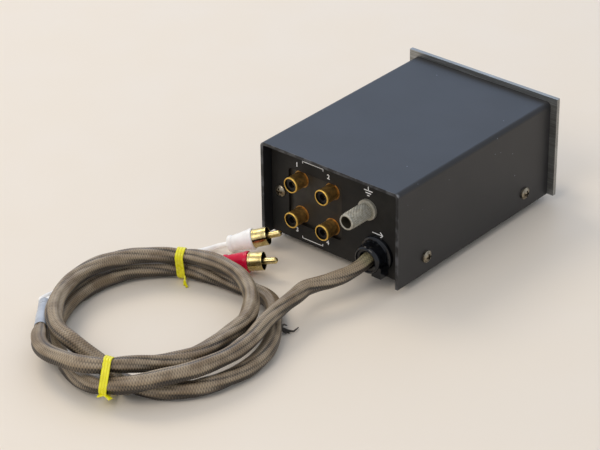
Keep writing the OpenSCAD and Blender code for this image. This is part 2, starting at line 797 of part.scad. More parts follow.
module selector_knob(x, turn) {
    set_y = knob_back_y - set_screw_back;
    color([0.66, 0.66, 0.65]) translate([x, 0, selector_z]) rotate([0, turn, 0]) difference() {
        union() {
            translate([0, knob_front_y, 0]) rotate([-90, 0, 0])
                cylinder(h = knob_bevel, d1 = knob_d - 2 * knob_bevel, d2 = knob_d);
            rod_y([0, knob_front_y + knob_bevel, 0], knob_d / 2, knob_l - knob_bevel);
        }
        rod_y([0, knob_back_y - knob_recess_l, 0], knob_recess_r, knob_recess_l + over);
        rod_y([0, knob_front_y + shaft_inset, 0], shaft_r + fixed_play, knob_l);
        translate([-index_w / 2, knob_front_y - over, knob_d / 8])
            cube([index_w, index_depth + over, knob_d]);
        translate([0, set_y, 0]) rotate([180, 0, 0]) cylinder(h = knob_d, r = screw_hole_r);
    }
}

module selector_set_screw(x, turn) {
    start = shaft_r + running_play;
    end = knob_d / 2 - set_screw_sink;
    color([0.25, 0.25, 0.25]) translate([x, knob_back_y - set_screw_back, selector_z])
        rotate([0, turn, 0]) rotate([180, 0, 0]) difference() {
            translate([0, 0, start]) cylinder(h = end - start, r = screw_r);
            translate([0, 0, end - screw_r]) cylinder(h = screw_d, r = screw_r / 2, $fn = 6);
        }
}

module selector_shaft(x) {
    front_y = knob_front_y + shaft_inset;
    color([0.7, 0.66, 0.5]) rod_y([x, front_y, selector_z], shaft_r, shaft_end_y - front_y);
}

module selector_rotor(x) {
    start_y = wafer_y - rotor_over;
    length = wafer_t + 2 * rotor_over;
    color([0.35, 0.2, 0.1]) difference() {
        rod_y([x, start_y, selector_z], rotor_r, length);
        bore_y([x, start_y, selector_z], shaft_r + fixed_play, length);
    }
}

module selector_bushing(x) {
    start_y = panel_front_y - bushing_reach;
    color([0.6, 0.58, 0.52]) difference() {
        union() {
            rod_y([x, start_y, selector_z], bushing_d / 2, front_inner_y - start_y);
            translate([x - housing_w / 2, front_inner_y, selector_z - housing_w / 2])
                cube([housing_w, housing_l, housing_w]);
            for (turn = post_turns) translate([x, 0, selector_z]) rotate([0, turn, 0]) {
                rod_y([post_place, front_inner_y, 0], post_r, wafer_y - front_inner_y);
                rod_y([post_place, front_inner_y, 0], post_tip_r, wafer_back_y - front_inner_y);
            }
        }
        bore_y([x, start_y, selector_z], shaft_r + running_play, wafer_y - start_y);
    }
}

module selector_wafer(x) {
    color([0.5, 0.3, 0.15]) difference() {
        rod_y([x, wafer_y, selector_z], wafer_d / 2, wafer_t);
        bore_y([x, wafer_y, selector_z], rotor_r + running_play, wafer_t);
        for (turn = post_turns) translate([x, 0, selector_z]) rotate([0, turn, 0])
            bore_y([post_place, wafer_y, 0], post_tip_r + fixed_play, wafer_t);
    }
}

module input_selector_knob() { selector_knob(selector_xs[0], input_turn); }
module input_selector_set_screw() { selector_set_screw(selector_xs[0], input_turn); }
module input_selector_shaft() { selector_shaft(selector_xs[0]); }
module input_selector_rotor() { selector_rotor(selector_xs[0]); }
module input_selector_bushing() { selector_bushing(selector_xs[0]); }
module input_selector_wafer() { selector_wafer(selector_xs[0]); }
module load_selector_knob() { selector_knob(selector_xs[1], load_turn); }
module load_selector_set_screw() { selector_set_screw(selector_xs[1], load_turn); }
module load_selector_shaft() { selector_shaft(selector_xs[1]); }
module load_selector_rotor() { selector_rotor(selector_xs[1]); }
module load_selector_bushing() { selector_bushing(selector_xs[1]); }
module load_selector_wafer() { selector_wafer(selector_xs[1]); }

module selector_nuts() {
    start_y = panel_front_y - selector_nut_t;
    color([0.68, 0.66, 0.6]) for (x = selector_xs) difference() {
        translate([x, start_y, selector_z]) rotate([-90, 0, 0])
            cylinder(h = selector_nut_t, d = selector_nut_d, $fn = 6);
        bore_y([x, start_y, selector_z], bushing_d / 2 + fixed_play, selector_nut_t);
    }
}

module selector_terminals() {
    tab = [terminal_out - terminal_in, terminal_t, terminal_w];
    color([0.78, 0.74, 0.62]) for (x = selector_xs, turn = [0:terminal_step:359])
        translate([x, wafer_back_y, selector_z]) rotate([0, turn, 0])
            translate([terminal_in, 0, -terminal_w / 2]) cube(tab);
}

// Transformers

module shield_can(side) {
    color([0.55, 0.55, 0.53]) translate([side * can_x, can_y, floor_z]) difference() {
        union() {
            cylinder(h = can_h, d = can_d);
            for (end = [-1, 1]) translate([0, end * can_ear_y, 0]) cylinder(h = can_wall, r = can_ear_r);
            translate([-can_ear_r, -can_ear_y, 0]) cube([2 * can_ear_r, 2 * can_ear_y, can_wall]);
        }
        translate([0, 0, can_wall]) cylinder(h = can_h, r = can_in_r);
        for (end = [-1, 1]) bore_z([0, end * can_ear_y, 0], screw_hole_r, can_wall);
    }
}

module can_lid(side) {
    color([0.6, 0.6, 0.58]) translate([side * can_x, can_y, can_top_z]) difference() {
        union() {
            cylinder(h = lid_t, d = can_d);
            translate([0, 0, -lid_spigot]) cylinder(h = lid_spigot, r = can_in_r - lid_play);
        }
        bore_z([0, lid_lead_y - can_y, -lid_spigot], lid_hole_r, lid_spigot + lid_t);
    }
}

module core(side) {
    color([0.4, 0.4, 0.42]) translate([side * can_x, can_y, core_z]) difference() {
        translate([-core_w / 2, -core_d / 2, 0]) cube([core_w, core_d, core_h]);
        for (s = [-1, 1]) translate([s * (core_leg + core_window_w) / 2, 0, core_h / 2])
            cube([core_window_w, core_d + 2 * over, core_h - 2 * core_yoke], center = true);
    }
}

module winding(side) {
    hole = [core_leg + 2 * winding_play, core_d + 2 * winding_play];
    width = core_leg + 2 * (core_window_w - winding_play);
    color([0.7, 0.4, 0.2]) translate([side * can_x, can_y, winding_z])
        linear_extrude(winding_top_z - winding_z) difference() {
            round_rectangle(width, core_d + 2 * winding_out, winding_round);
            square(hole, center = true);
        }
}

module left_shield_can() { shield_can(1); }
module left_can_lid() { can_lid(1); }
module left_core() { core(1); }
module left_winding() { winding(1); }
module right_shield_can() { shield_can(-1); }
module right_can_lid() { can_lid(-1); }
module right_core() { core(-1); }
module right_winding() { winding(-1); }

module transformer_screws() {
    screw_l = can_wall + chassis_t + screw_past / 2;
    color([0.7, 0.68, 0.62]) for (p = can_screw_places)
        translate([p[0], p[1], floor_z + can_wall]) pan_screw(screw_l);
}

// Wiring inside the case: each route ends square on a terminal's back

function at_y(p, y) = [p.x, y, p.z];
function terminal_place(x, turn) = let (reach = terminal_out - wire_r)
    [x + reach * cos(turn), 0, selector_z - reach * sin(turn)];

// A lane along the case's side from the rear to the front, then to a selector's terminal
function lane_wire(lane_x, lane_z, rear_y, t) = [
    [lane_x, rear_y, lane_z], [lane_x, can_y, lane_z], [lane_x, wire_end_y + 3 * wire_bend, lane_z],
    at_y(t, wire_end_y + wire_bend), at_y(t, wire_end_y)];

// From a jack's tail to the input selector
function jack_wire(p, lane_z, turn) = concat(
    [at_y(p, tail_end_y - wire_gap), at_y(p, tail_end_y - wire_bend)],
    lane_wire(wire_lane_x, lane_z, tail_end_y - 3 * wire_bend, terminal_place(selector_xs[0], turn)));

// From the output cord's inner end to the load selector
function cord_wire(offset, lane_z, turn) = concat(
    [for (y = [lead_in_y - wire_gap, lead_in_y - wire_bend]) [gland_x + offset, y, gland_z]],
    lane_wire(-wire_lane_x, lane_z, lead_in_y - 3 * wire_bend, terminal_place(selector_xs[1], turn)));

// From a winding through the lid's hole to a selector
function lid_wire(side, x, turn) = let (t = terminal_place(x, turn)) [
    [side * can_x, lid_lead_y, winding_top_z + wire_gap], [side * can_x, lid_lead_y, lid_lead_z - 2],
    [side * can_x, lid_lead_y - 2, lid_lead_z], [side * can_x, lid_lead_y - wire_bend, lid_lead_z],
    at_y(t, wire_end_y + wire_bend), at_y(t, wire_end_y)];

module signal_wires() {
    along = unit([2, 1, 5]);
    across = unit([5, 1, 1]);
    color([0.75, 0.2, 0.15]) {
        for (i = [0:3])
            tube(jack_wire(jack_places[i], wire_low_z + (3 - i) * wire_pitch, jack_turns[i]),
                wire_r, wire_sides, along);
        tube(lid_wire(1, selector_xs[0], 270), wire_r, wire_sides, across);
        tube(lid_wire(-1, selector_xs[1], 270), wire_r, wire_sides, across);
        tube(cord_wire(cord_d / 4, wire_low_z + wire_pitch, 210), wire_r, wire_sides, along);
        tube(cord_wire(-cord_d / 4, wire_low_z, 150), wire_r, wire_sides, along);
    }
}

// Output cord

module output_cord_lead() {
    path = concat([[gland_x, lead_in_y, gland_z]], cord_path(lead_route, 3));
    color([0.35, 0.33, 0.29]) tube(path, cord_d / 2, lead_sides);
}

module output_cord_coil() {
    color([0.35, 0.33, 0.29]) tube(coil_path, cord_d / 2, coil_sides);
}

module cord_split_sleeve() {
    azimuth = atan2(sleeve_heading.y, sleeve_heading.x);
    polar = acos(sleeve_heading.z);
    color([0.62, 0.64, 0.68]) translate(sleeve_start) rotate([0, polar, azimuth])
        cylinder(h = sleeve_l, r1 = sleeve_r1, r2 = sleeve_r2);
}

module left_tail_cord() {
    color([0.9, 0.89, 0.86]) tube(cord_path(left_tail_route, 2), tail_d / 2, tail_sides);
}

module right_tail_cord() {
    color([0.9, 0.89, 0.86]) tube(cord_path(right_tail_route, 2), tail_d / 2, tail_sides);
}

// Places what is drawn along +Z at a plug's rear centre
module at_left_plug() {
    translate(left_plug_at) rotate([0, 90 - left_plug_tilt, left_plug_turn]) children();
}

module at_right_plug() {
    translate(right_plug_at) rotate([0, 90 - right_plug_tilt, right_plug_turn]) children();
}

module plug_body() {
    difference() {
        union() {
            cylinder(h = plug_ring_l, r = plug_ring_r);
            translate([0, 0, plug_ring_l])
                cylinder(h = plug_body_l - plug_ring_l, r1 = plug_ring_r, r2 = plug_front_r);
        }
        translate([0, 0, plug_pin_z]) cylinder(h = plug_body_l, r = plug_pin_r + fixed_play);
    }
}

module plug_shell() {
    translate([0, 0, plug_body_l]) difference() {
        cylinder(h = plug_shell_l, r = plug_shell_r);
        bore_z([0, 0, 0], plug_shell_bore, plug_shell_l);
    }
}

module plug_pin() {
    round_z = plug_body_l + plug_shell_l + plug_pin_over - plug_pin_r;
    translate([0, 0, plug_pin_z]) cylinder(h = round_z - plug_pin_z, r = plug_pin_r);
    translate([0, 0, round_z]) sphere(plug_pin_r);
}

module plug_liner() {
    translate([0, 0, plug_body_l]) difference() {
        cylinder(h = plug_liner_l, r = plug_shell_bore - fixed_play);
        bore_z([0, 0, 0], plug_pin_r + fixed_play, plug_liner_l);
    }
}

module left_plug_body() { color([0.9, 0.89, 0.86]) at_left_plug() plug_body(); }
module left_plug_shell() { color([0.8, 0.65, 0.3]) at_left_plug() plug_shell(); }
module left_plug_pin() { color([0.8, 0.65, 0.3]) at_left_plug() plug_pin(); }
module right_plug_body() { color([0.75, 0.08, 0.15]) at_right_plug() plug_body(); }
module right_plug_shell() { color([0.8, 0.65, 0.3]) at_right_plug() plug_shell(); }
module right_plug_pin() { color([0.8, 0.65, 0.3]) at_right_plug() plug_pin(); }

module plug_insulators() {
    color([0.08, 0.08, 0.08]) {
        at_left_plug() plug_liner();
        at_right_plug() plug_liner();
    }
}

// The least band round six-sided loops at some spots
module tie_outline(spots, rx, rz) {
    hexagon = [[rx, 0], [rx / 2, rz], [-rx / 2, rz], [-rx, 0], [-rx / 2, -rz], [rx / 2, -rz]];
    hull() for (s = spots) translate(s) polygon(hexagon);
}

// A band round the loops at some places along the coil
module coil_tie(places, side_play) {
    at = middle([for (phi = places) coil_chord(phi)]);
    way = coil_heading(places[0]);
    turn = atan2(way.y, way.x);
    across = [-sin(turn), cos(turn), 0];
    spots = [for (phi = places, end = [-1, 1])
        let (p = coil_chord(phi + end * tie_reach) - at) [p * across, p.z]];
    rx = cord_d / 2 + side_play;
    rz = cord_d / 2 * cos(180 / coil_sides) + tie_play;
    color([0.9, 0.85, 0.1]) translate(at) rotate([90, 0, turn + 90])
        translate([0, 0, -tie_w / 2]) linear_extrude(tie_w) difference() {
            tie_outline(spots, rx + tie_t, rz + tie_t);
            tie_outline(spots, rx, rz);
        }
}

module upper_coil_tie() { coil_tie(upper_tie_places, upper_tie_play); }
module lower_coil_tie() { coil_tie(lower_tie_places, lower_tie_play); }

base_chassis();
top_cover();
front_panel();
panel_screws();
cover_screws();
rubber_feet();
foot_screws();
jack_board();
input_1_left_jack();
input_1_right_jack();
input_2_left_jack();
input_2_right_jack();
jack_insulators();
jack_contacts();
jack_board_screws();
ground_stud();
ground_clamp_washer();
ground_thumb_nut();
ground_lug();
strain_relief_body();
strain_relief_wedge();
input_selector_knob();
input_selector_set_screw();
input_selector_shaft();
input_selector_rotor();
input_selector_bushing();
input_selector_wafer();
load_selector_knob();
load_selector_set_screw();
load_selector_shaft();
load_selector_rotor();
load_selector_bushing();
load_selector_wafer();
selector_nuts();
selector_terminals();
left_shield_can();
left_can_lid();
left_core();
left_winding();
right_shield_can();
right_can_lid();
right_core();
right_winding();
transformer_screws();
signal_wires();
output_cord_lead();
output_cord_coil();
cord_split_sleeve();
left_tail_cord();
right_tail_cord();
left_plug_body();
left_plug_shell();
left_plug_pin();
right_plug_body();
right_plug_shell();
right_plug_pin();
plug_insulators();
upper_coil_tie();
lower_coil_tie();
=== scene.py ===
"""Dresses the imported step-up transformer: camera, cords, turned and moulded pieces, finishes."""
import logging
import math
from collections.abc import Callable, Sequence
from dataclasses import dataclass, field
from enum import Enum

import bmesh
import bpy
from mathutils import Matrix, Vector


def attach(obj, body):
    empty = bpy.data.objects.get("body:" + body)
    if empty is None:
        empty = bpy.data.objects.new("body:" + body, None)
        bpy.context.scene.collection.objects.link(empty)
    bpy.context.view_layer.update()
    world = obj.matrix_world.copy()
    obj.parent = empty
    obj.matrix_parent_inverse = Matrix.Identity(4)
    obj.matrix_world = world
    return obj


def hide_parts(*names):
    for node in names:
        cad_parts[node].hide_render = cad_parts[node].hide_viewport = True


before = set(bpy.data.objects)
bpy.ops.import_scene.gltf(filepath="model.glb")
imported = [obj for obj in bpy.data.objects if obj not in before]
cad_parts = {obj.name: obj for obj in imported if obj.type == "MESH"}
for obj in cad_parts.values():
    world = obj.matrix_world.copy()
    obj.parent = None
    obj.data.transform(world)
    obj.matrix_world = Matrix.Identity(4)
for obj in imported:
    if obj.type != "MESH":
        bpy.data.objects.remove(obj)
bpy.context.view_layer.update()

LOG = logging.getLogger("transformer")
MM = 0.001
IMAGE_W = 600
UP = Vector((0, 0, 1))
REARWARD = (0, 1, 0)
FORWARD = (0, -1, 0)

Point = tuple[float, float, float]
Triple = tuple[float, float, float]
Span = tuple[float, float]
Profile = tuple[Span, ...]
Bar = tuple[float, float, float, float, float]
Tree = bpy.types.NodeTree
Socket = bpy.types.NodeSocket
Value = float | tuple[float, ...] | Socket

# The sockets of a mix of two colours go by number, because several of them share a name.
SHARE, ONE, TWO, MIXED = 0, 6, 7, 2
COLOURS = {"data_type": "RGBA"}
SOFT = {"interpolation_type": "SMOOTHSTEP"}
# The vertex attribute of painted light: low where shade is painted, high on lit ridges, crests and lumps.
PAINTED_LIGHT = "painted_light"
MERGE = 1e-4


class Body(Enum):
    """The bodies of the frame that pieces ride on."""

    CASE = "case"
    INPUT = "input_selector"
    LOAD = "load_selector"
    NUT = "ground_nut"


class Channel(Enum):
    """The two channels, each with its jacks, tail and plug."""

    LEFT = "left"
    RIGHT = "right"


def linear(colour: str) -> tuple[float, float, float, float]:
    """Turn an sRGB hex colour to linear RGBA.

    Args:
        colour: the colour as six hex digits after a hash sign.

    Returns:
        Red, green, blue and alpha, linear.
    """
    parts = [int(colour[i:i + 2], 16) / 255 for i in (1, 3, 5)]
    red, green, blue = [p / 12.92 if p <= 0.04045 else ((p + 0.055) / 1.055) ** 2.4 for p in parts]
    return red, green, blue, 1.0


def add(tree: Tree, kind: str, inputs: dict[int | str, Value] | None = None, out: int | str = 0,
        **settings: object) -> Socket:
    """Add a node with its settings and links.

    Args:
        tree: the node tree to add to.
        kind: the node's type name, less its first part, ShaderNode.
        inputs: a value, or a socket to link from, for each input by name or number.
        out: the output that is wanted, by name or number.
        settings: the node's own settings.

    Returns:
        The wanted output of the new node.
    """
    node = tree.nodes.new(f"ShaderNode{kind}")
    for name, value in settings.items():
        setattr(node, name, value)
    for key, value in (inputs or {}).items():
        if isinstance(value, Socket):
            tree.links.new(value, node.inputs[key])
        else:
            node.inputs[key].default_value = value
    return node.outputs[out]


@dataclass(frozen=True)
class Finish:
    """A mottled finish: two colours, a spread of roughness and a fine relief, all from noise."""

    name: str
    base: str
    mottle: str
    patch_mm: float = 6.0
    metallic: float = 0.0
    rough: float = 0.5
    rough_spread: float = 0.1
    relief_mm: float = 0.02
    grain_mm: float = 0.6
    stretch: Triple = (1.0, 1.0, 1.0)
    coat: float = 0.0
    specular: float = 0.5
    sheen: float = 0.0
    colour_span: Span = (0.35, 0.65)
    gloss_span: Span = (0.3, 0.7)
    gloss_patch: float = 0.7
    relief_detail: float = 2.0

    def patches(self, tree: Tree, size_mm: float, detail: float = 4.0) -> Socket:
        """Uneven patches of a real size, drawn out in the directions in which the finish is.

        Args:
            tree: the material's node tree.
            size_mm: the patches' size.
            detail: the octaves of finer patches in them.

        Returns:
            A value, mostly from 0.3 to 0.7.
        """
        place = add(tree, "TexCoord", out="Object")
        drawn = add(tree, "Mapping", {"Vector": place, "Scale": self.stretch})
        return add(tree, "TexNoise", {"Vector": drawn, "Scale": 1.0 / (size_mm * MM), "Detail": detail})

    def colour(self, tree: Tree) -> Socket:
        """The two colours in patches.

        Args:
            tree: the material's node tree.

        Returns:
            The colour.
        """
        low, high = self.colour_span
        patches = self.patches(tree, self.patch_mm)
        share = add(tree, "MapRange", {"Value": patches, "From Min": low, "From Max": high}, **SOFT)
        return add(tree, "Mix", {SHARE: share, ONE: linear(self.base), TWO: linear(self.mottle)},
                   MIXED, **COLOURS)

    def gloss(self, tree: Tree) -> Socket:
        """The roughness, a little uneven.

        Args:
            tree: the material's node tree.

        Returns:
            The roughness.
        """
        low, high = self.gloss_span
        patches = self.patches(tree, self.patch_mm * self.gloss_patch)
        ends = {"To Min": self.rough - self.rough_spread, "To Max": self.rough + self.rough_spread}
        return add(tree, "MapRange", {"Value": patches, "From Min": low, "From Max": high, **ends}, **SOFT)

    def height(self, tree: Tree) -> Socket:
        """The relief, from 0 to 1."""
        return self.patches(tree, self.grain_mm, self.relief_detail)

    def make(self) -> bpy.types.Material:
        """Make the material.

        Returns:
            The material, with its nodes.
        """
        material = bpy.data.materials.new(self.name)
        material.use_nodes = True
        tree = material.node_tree
        sockets = tree.nodes["Principled BSDF"].inputs
        for name, value in (("Metallic", self.metallic), ("Coat Weight", self.coat),
                            ("Specular IOR Level", self.specular), ("Sheen Weight", self.sheen)):
            sockets[name].default_value = value
        relief = {"Height": self.height(tree), "Distance": self.relief_mm * MM, "Strength": 1.0}
        for name, source in (("Base Color", self.colour(tree)), ("Roughness", self.gloss(tree)),
                             ("Normal", add(tree, "Bump", relief))):
            tree.links.new(source, sockets[name])
        return material


@dataclass(frozen=True)
class WornPaint(Finish):
    """Sprayed paint that is rubbed at the sheet's rear edge and corners, with a few specks."""

    worn: str = "#8d8f92"
    speck: str = "#7c828c"
    speck_mm: float = 7.0
    speck_edge: Span = (0.02, 0.055)
    speck_chosen: Span = (0.80, 0.86)
    edge_y: float = 64.85
    edge_mm: Span = (0.5, 0.1)
    rub_mm: float = 5.0
    wear_and_light_span: Span = (0.42, 0.62)
    rub_share: float = 0.2
    corner_x: float = 42.5
    corner_z: float = 55.5
    corner_mm: Span = (0.6, 2.0)
    corner_share: float = 0.9

    def specks(self, tree: Tree, place: Socket) -> Socket:
        """Small specks in a few cells of an uneven grid.

        Args:
            tree: the material's node tree.
            place: the Object coordinates.

        Returns:
            How much of the speck's colour shows.
        """
        cells = add(tree, "TexVoronoi", {"Vector": place, "Scale": 1.0 / (self.speck_mm * MM)}).node.outputs
        near, far = self.speck_edge
        dot = add(tree, "MapRange", {"Value": cells["Distance"], "From Min": near, "From Max": far,
                                     "To Min": 1.0, "To Max": 0.0}, **SOFT)
        low, high = self.speck_chosen
        lot = add(tree, "SeparateColor", {0: cells["Color"]})
        chosen = add(tree, "MapRange", {"Value": lot, "From Min": low, "From Max": high}, **SOFT)
        return add(tree, "Math", {0: dot, 1: chosen}, operation="MULTIPLY")

    def thin_edge(self, tree: Tree, along: Socket) -> Socket:
        """A line at the rear edge where the paint is thin in places.

        Args:
            tree: the material's node tree.
            along: the Y coordinate.

        Returns:
            How much of the worn colour shows.
        """
        start, end = self.edge_mm
        rear = add(tree, "MapRange", {"Value": along, "From Min": (self.edge_y - start) * MM,
                                      "From Max": (self.edge_y - end) * MM}, **SOFT)
        low, high = self.wear_and_light_span
        rubbed = add(tree, "MapRange", {"Value": self.patches(tree, self.rub_mm), "From Min": low,
                                        "From Max": high, "To Max": self.rub_share}, **SOFT)
        return add(tree, "Math", {0: rear, 1: rubbed}, operation="MULTIPLY")

    def bare_corner(self, tree: Tree, axes: Sequence[Socket]) -> Socket:
        """The two upper rear corners, where the paint is rubbed off.

        Args:
            tree: the material's node tree.
            axes: the X, Y and Z coordinates.

        Returns:
            How much of the worn colour shows.
        """
        side = add(tree, "Math", {0: axes[0]}, operation="ABSOLUTE")
        corner = ((side, self.corner_x), (axes[1], self.edge_y), (axes[2], self.corner_z))
        off = [add(tree, "Math", {0: value, 1: edge * MM}, operation="SUBTRACT") for value, edge in corner]
        away = add(tree, "CombineXYZ", dict(enumerate(off)))
        far = add(tree, "VectorMath", {0: away}, "Value", operation="LENGTH")
        start, end = self.corner_mm
        return add(tree, "MapRange", {"Value": far, "From Min": start * MM, "From Max": end * MM,
                                      "To Min": self.corner_share, "To Max": 0.0}, **SOFT)

    def colour(self, tree: Tree) -> Socket:
        """Paint in faint patches, bare at its rear corners and thin along its rear edge.

        Args:
            tree: the material's node tree.

        Returns:
            The colour.
        """
        place = add(tree, "TexCoord", out="Object")
        axes = add(tree, "SeparateXYZ", {0: place}).node.outputs
        paint = Finish.colour(self, tree)
        for share, over in ((self.specks(tree, place), self.speck),
                            (self.thin_edge(tree, axes[1]), self.worn),
                            (self.bare_corner(tree, axes), self.worn)):
            paint = add(tree, "Mix", {SHARE: share, ONE: paint, TWO: linear(over)}, MIXED, **COLOURS)
        return paint


@dataclass(frozen=True)
class Braid(Finish):
    """A woven sleeve: two sets of yarns that cross, drawn on the piece's own UV map."""

    # Painted shade: the colour in the weave's gaps, in the furrows and underneath.
    shadow: str = "#231c15"
    fresh: str = "#97906a"
    fresh_mm: Span = (21.0, 27.0)
    fresh_share: float = 0.8
    # Round the cord the real yarns are finer; they are drawn this coarse so that the weave shows.
    yarns: float = 9.0
    pick_mm: float = 1.24
    # How the painted light turns to colour: painted highlights on the crests, painted shade in the furrows.
    wear_and_light_span: Span = (0.2, 0.9)
    crest_light: Span = (-0.1, 0.55)
    weave_share: float = 0.20
    lit_span: Span = (-0.08, 0.94)

    def weave(self, tree: Tree) -> Socket:
        """The upper yarn's height.

        Args:
            tree: the material's node tree.

        Returns:
            The height, from -1 in the gaps to 1 on the yarn's crown.
        """
        uv = add(tree, "SeparateXYZ", {0: add(tree, "TexCoord", out="UV")}).node.outputs
        waves = []
        for way, rate in ((uv[0], self.yarns * math.tau), (uv[1], math.tau / (self.pick_mm * MM))):
            turn = add(tree, "Math", {0: way, 1: rate}, operation="MULTIPLY")
            waves.append(add(tree, "Math", {0: turn}, operation="COSINE"))
        return add(tree, "Math", dict(enumerate(waves)), operation="MULTIPLY")

    def colour(self, tree: Tree) -> Socket:
        """Taupe yarn over painted shade in the weave's gaps, the furrows and the underside, with painted
        highlights on the crests, greener and cleaner where it leaves the case.

        Args:
            tree: the material's node tree.

        Returns:
            The colour.
        """
        along = add(tree, "SeparateXYZ", {0: add(tree, "TexCoord", out="UV")}, 1)
        near, far = self.fresh_mm
        start = add(tree, "MapRange", {"Value": along, "From Min": near * MM, "From Max": far * MM,
                                       "To Min": self.fresh_share, "To Max": 0.0}, **SOFT)
        yarn = add(tree, "Mix", {SHARE: start, ONE: Finish.colour(self, tree), TWO: linear(self.fresh)},
                   MIXED, **COLOURS)
        # Painted highlights on crests and lumps, painted shade in furrows and underneath, and painted shade
        # in the weave's gaps.
        painted_light = add(tree, "Attribute", out="Fac", attribute_name=PAINTED_LIGHT)
        (low, high), (dull, bright) = self.wear_and_light_span, self.crest_light
        crest_light = add(tree, "MapRange", {"Value": painted_light, "From Min": low, "From Max": high, "To Min": dull,
                                       "To Max": bright}, **SOFT)
        lift = add(tree, "Math", {0: self.weave(tree), 1: self.weave_share, 2: crest_light},
                   operation="MULTIPLY_ADD")
        low, high = self.lit_span
        lit = add(tree, "MapRange", {"Value": lift, "From Min": low, "From Max": high}, **SOFT)
        return add(tree, "Mix", {SHARE: lit, ONE: linear(self.shadow), TWO: yarn}, MIXED, **COLOURS)

    def height(self, tree: Tree) -> Socket:
        """The crossing yarns."""
        return self.weave(tree)


@dataclass(frozen=True)
class Furrowed(Finish):
    """A ribbed, knurled or hollow piece: its own finish on its ridges, painted shade in its furrows and
    hollows.
    """

    # The colour of the painted shade in the furrows and hollows.
    furrow: str = "#d9ce12"
    wear_and_light_span: Span = (0.0, 0.9)

    def colour(self, tree: Tree) -> Socket:
        """The finish on the ridges, and painted shade where the piece is marked as furrowed.

        Args:
            tree: the material's node tree.

        Returns:
            The colour.
        """
        low, high = self.wear_and_light_span
        painted_light = add(tree, "Attribute", out="Fac", attribute_name=PAINTED_LIGHT)
        share = add(tree, "MapRange", {"Value": painted_light, "From Min": low, "From Max": high}, **SOFT)
        plain = Finish.colour(self, tree)
        return add(tree, "Mix", {SHARE: share, ONE: linear(self.furrow), TWO: plain}, MIXED, **COLOURS)


@dataclass(frozen=True)
class RubbedGold(Finish):
    """Old gold plate that is brown on its sides, rubbed bright at its front rim with a painted highlight
    there, and with painted shade in its bore.
    """

    # The rim, rubbed clean, with a painted highlight on it.
    bright: str = "#f0c563"
    # The painted shade in the bore.
    inside: str = "#1d1409"
    rim_y: float = 65.0
    rim_mm: Span = (0.3, 0.25)
    wear_and_light_span: Span = (0.3, 0.9)

    def colour(self, tree: Tree) -> Socket:
        """Brown tarnish in patches, clean metal with a painted highlight at the rim, and painted shade
        inside.

        Args:
            tree: the material's node tree.

        Returns:
            The colour.
        """
        along = add(tree, "SeparateXYZ", {0: add(tree, "TexCoord", out="Object")}, 1)
        before, after = self.rim_mm
        rim = add(tree, "MapRange", {"Value": along, "From Min": (self.rim_y - before) * MM,
                                     "From Max": (self.rim_y + after) * MM}, **SOFT)
        plate = add(tree, "Mix", {SHARE: rim, ONE: Finish.colour(self, tree), TWO: linear(self.bright)},
                    MIXED, **COLOURS)
        low, high = self.wear_and_light_span
        painted_light = add(tree, "Attribute", out="Fac", attribute_name=PAINTED_LIGHT)
        outside = add(tree, "MapRange", {"Value": painted_light, "From Min": low, "From Max": high}, **SOFT)
        return add(tree, "Mix", {SHARE: outside, ONE: linear(self.inside), TWO: plate}, MIXED, **COLOURS)


@dataclass(frozen=True)
class Grain(Finish):
    """A brushed or turned metal: fine scratches drawn out one way."""

    scratch: str = "#ffffff"
    scratch_share: float = 0.18
    scratch_span: Span = (0.4, 0.7)
    scratch_detail: float = 3.0

    def colour(self, tree: Tree) -> Socket:
        """Patches, crossed by lighter scratches.

        Args:
            tree: the material's node tree.

        Returns:
            The colour.
        """
        low, high = self.scratch_span
        grain = self.patches(tree, self.grain_mm, self.scratch_detail)
        lines = add(tree, "MapRange", {"Value": grain, "From Min": low, "From Max": high,
                                       "To Max": self.scratch_share}, **SOFT)
        metal = Finish.colour(self, tree)
        return add(tree, "Mix", {SHARE: lines, ONE: metal, TWO: linear(self.scratch)}, MIXED, **COLOURS)


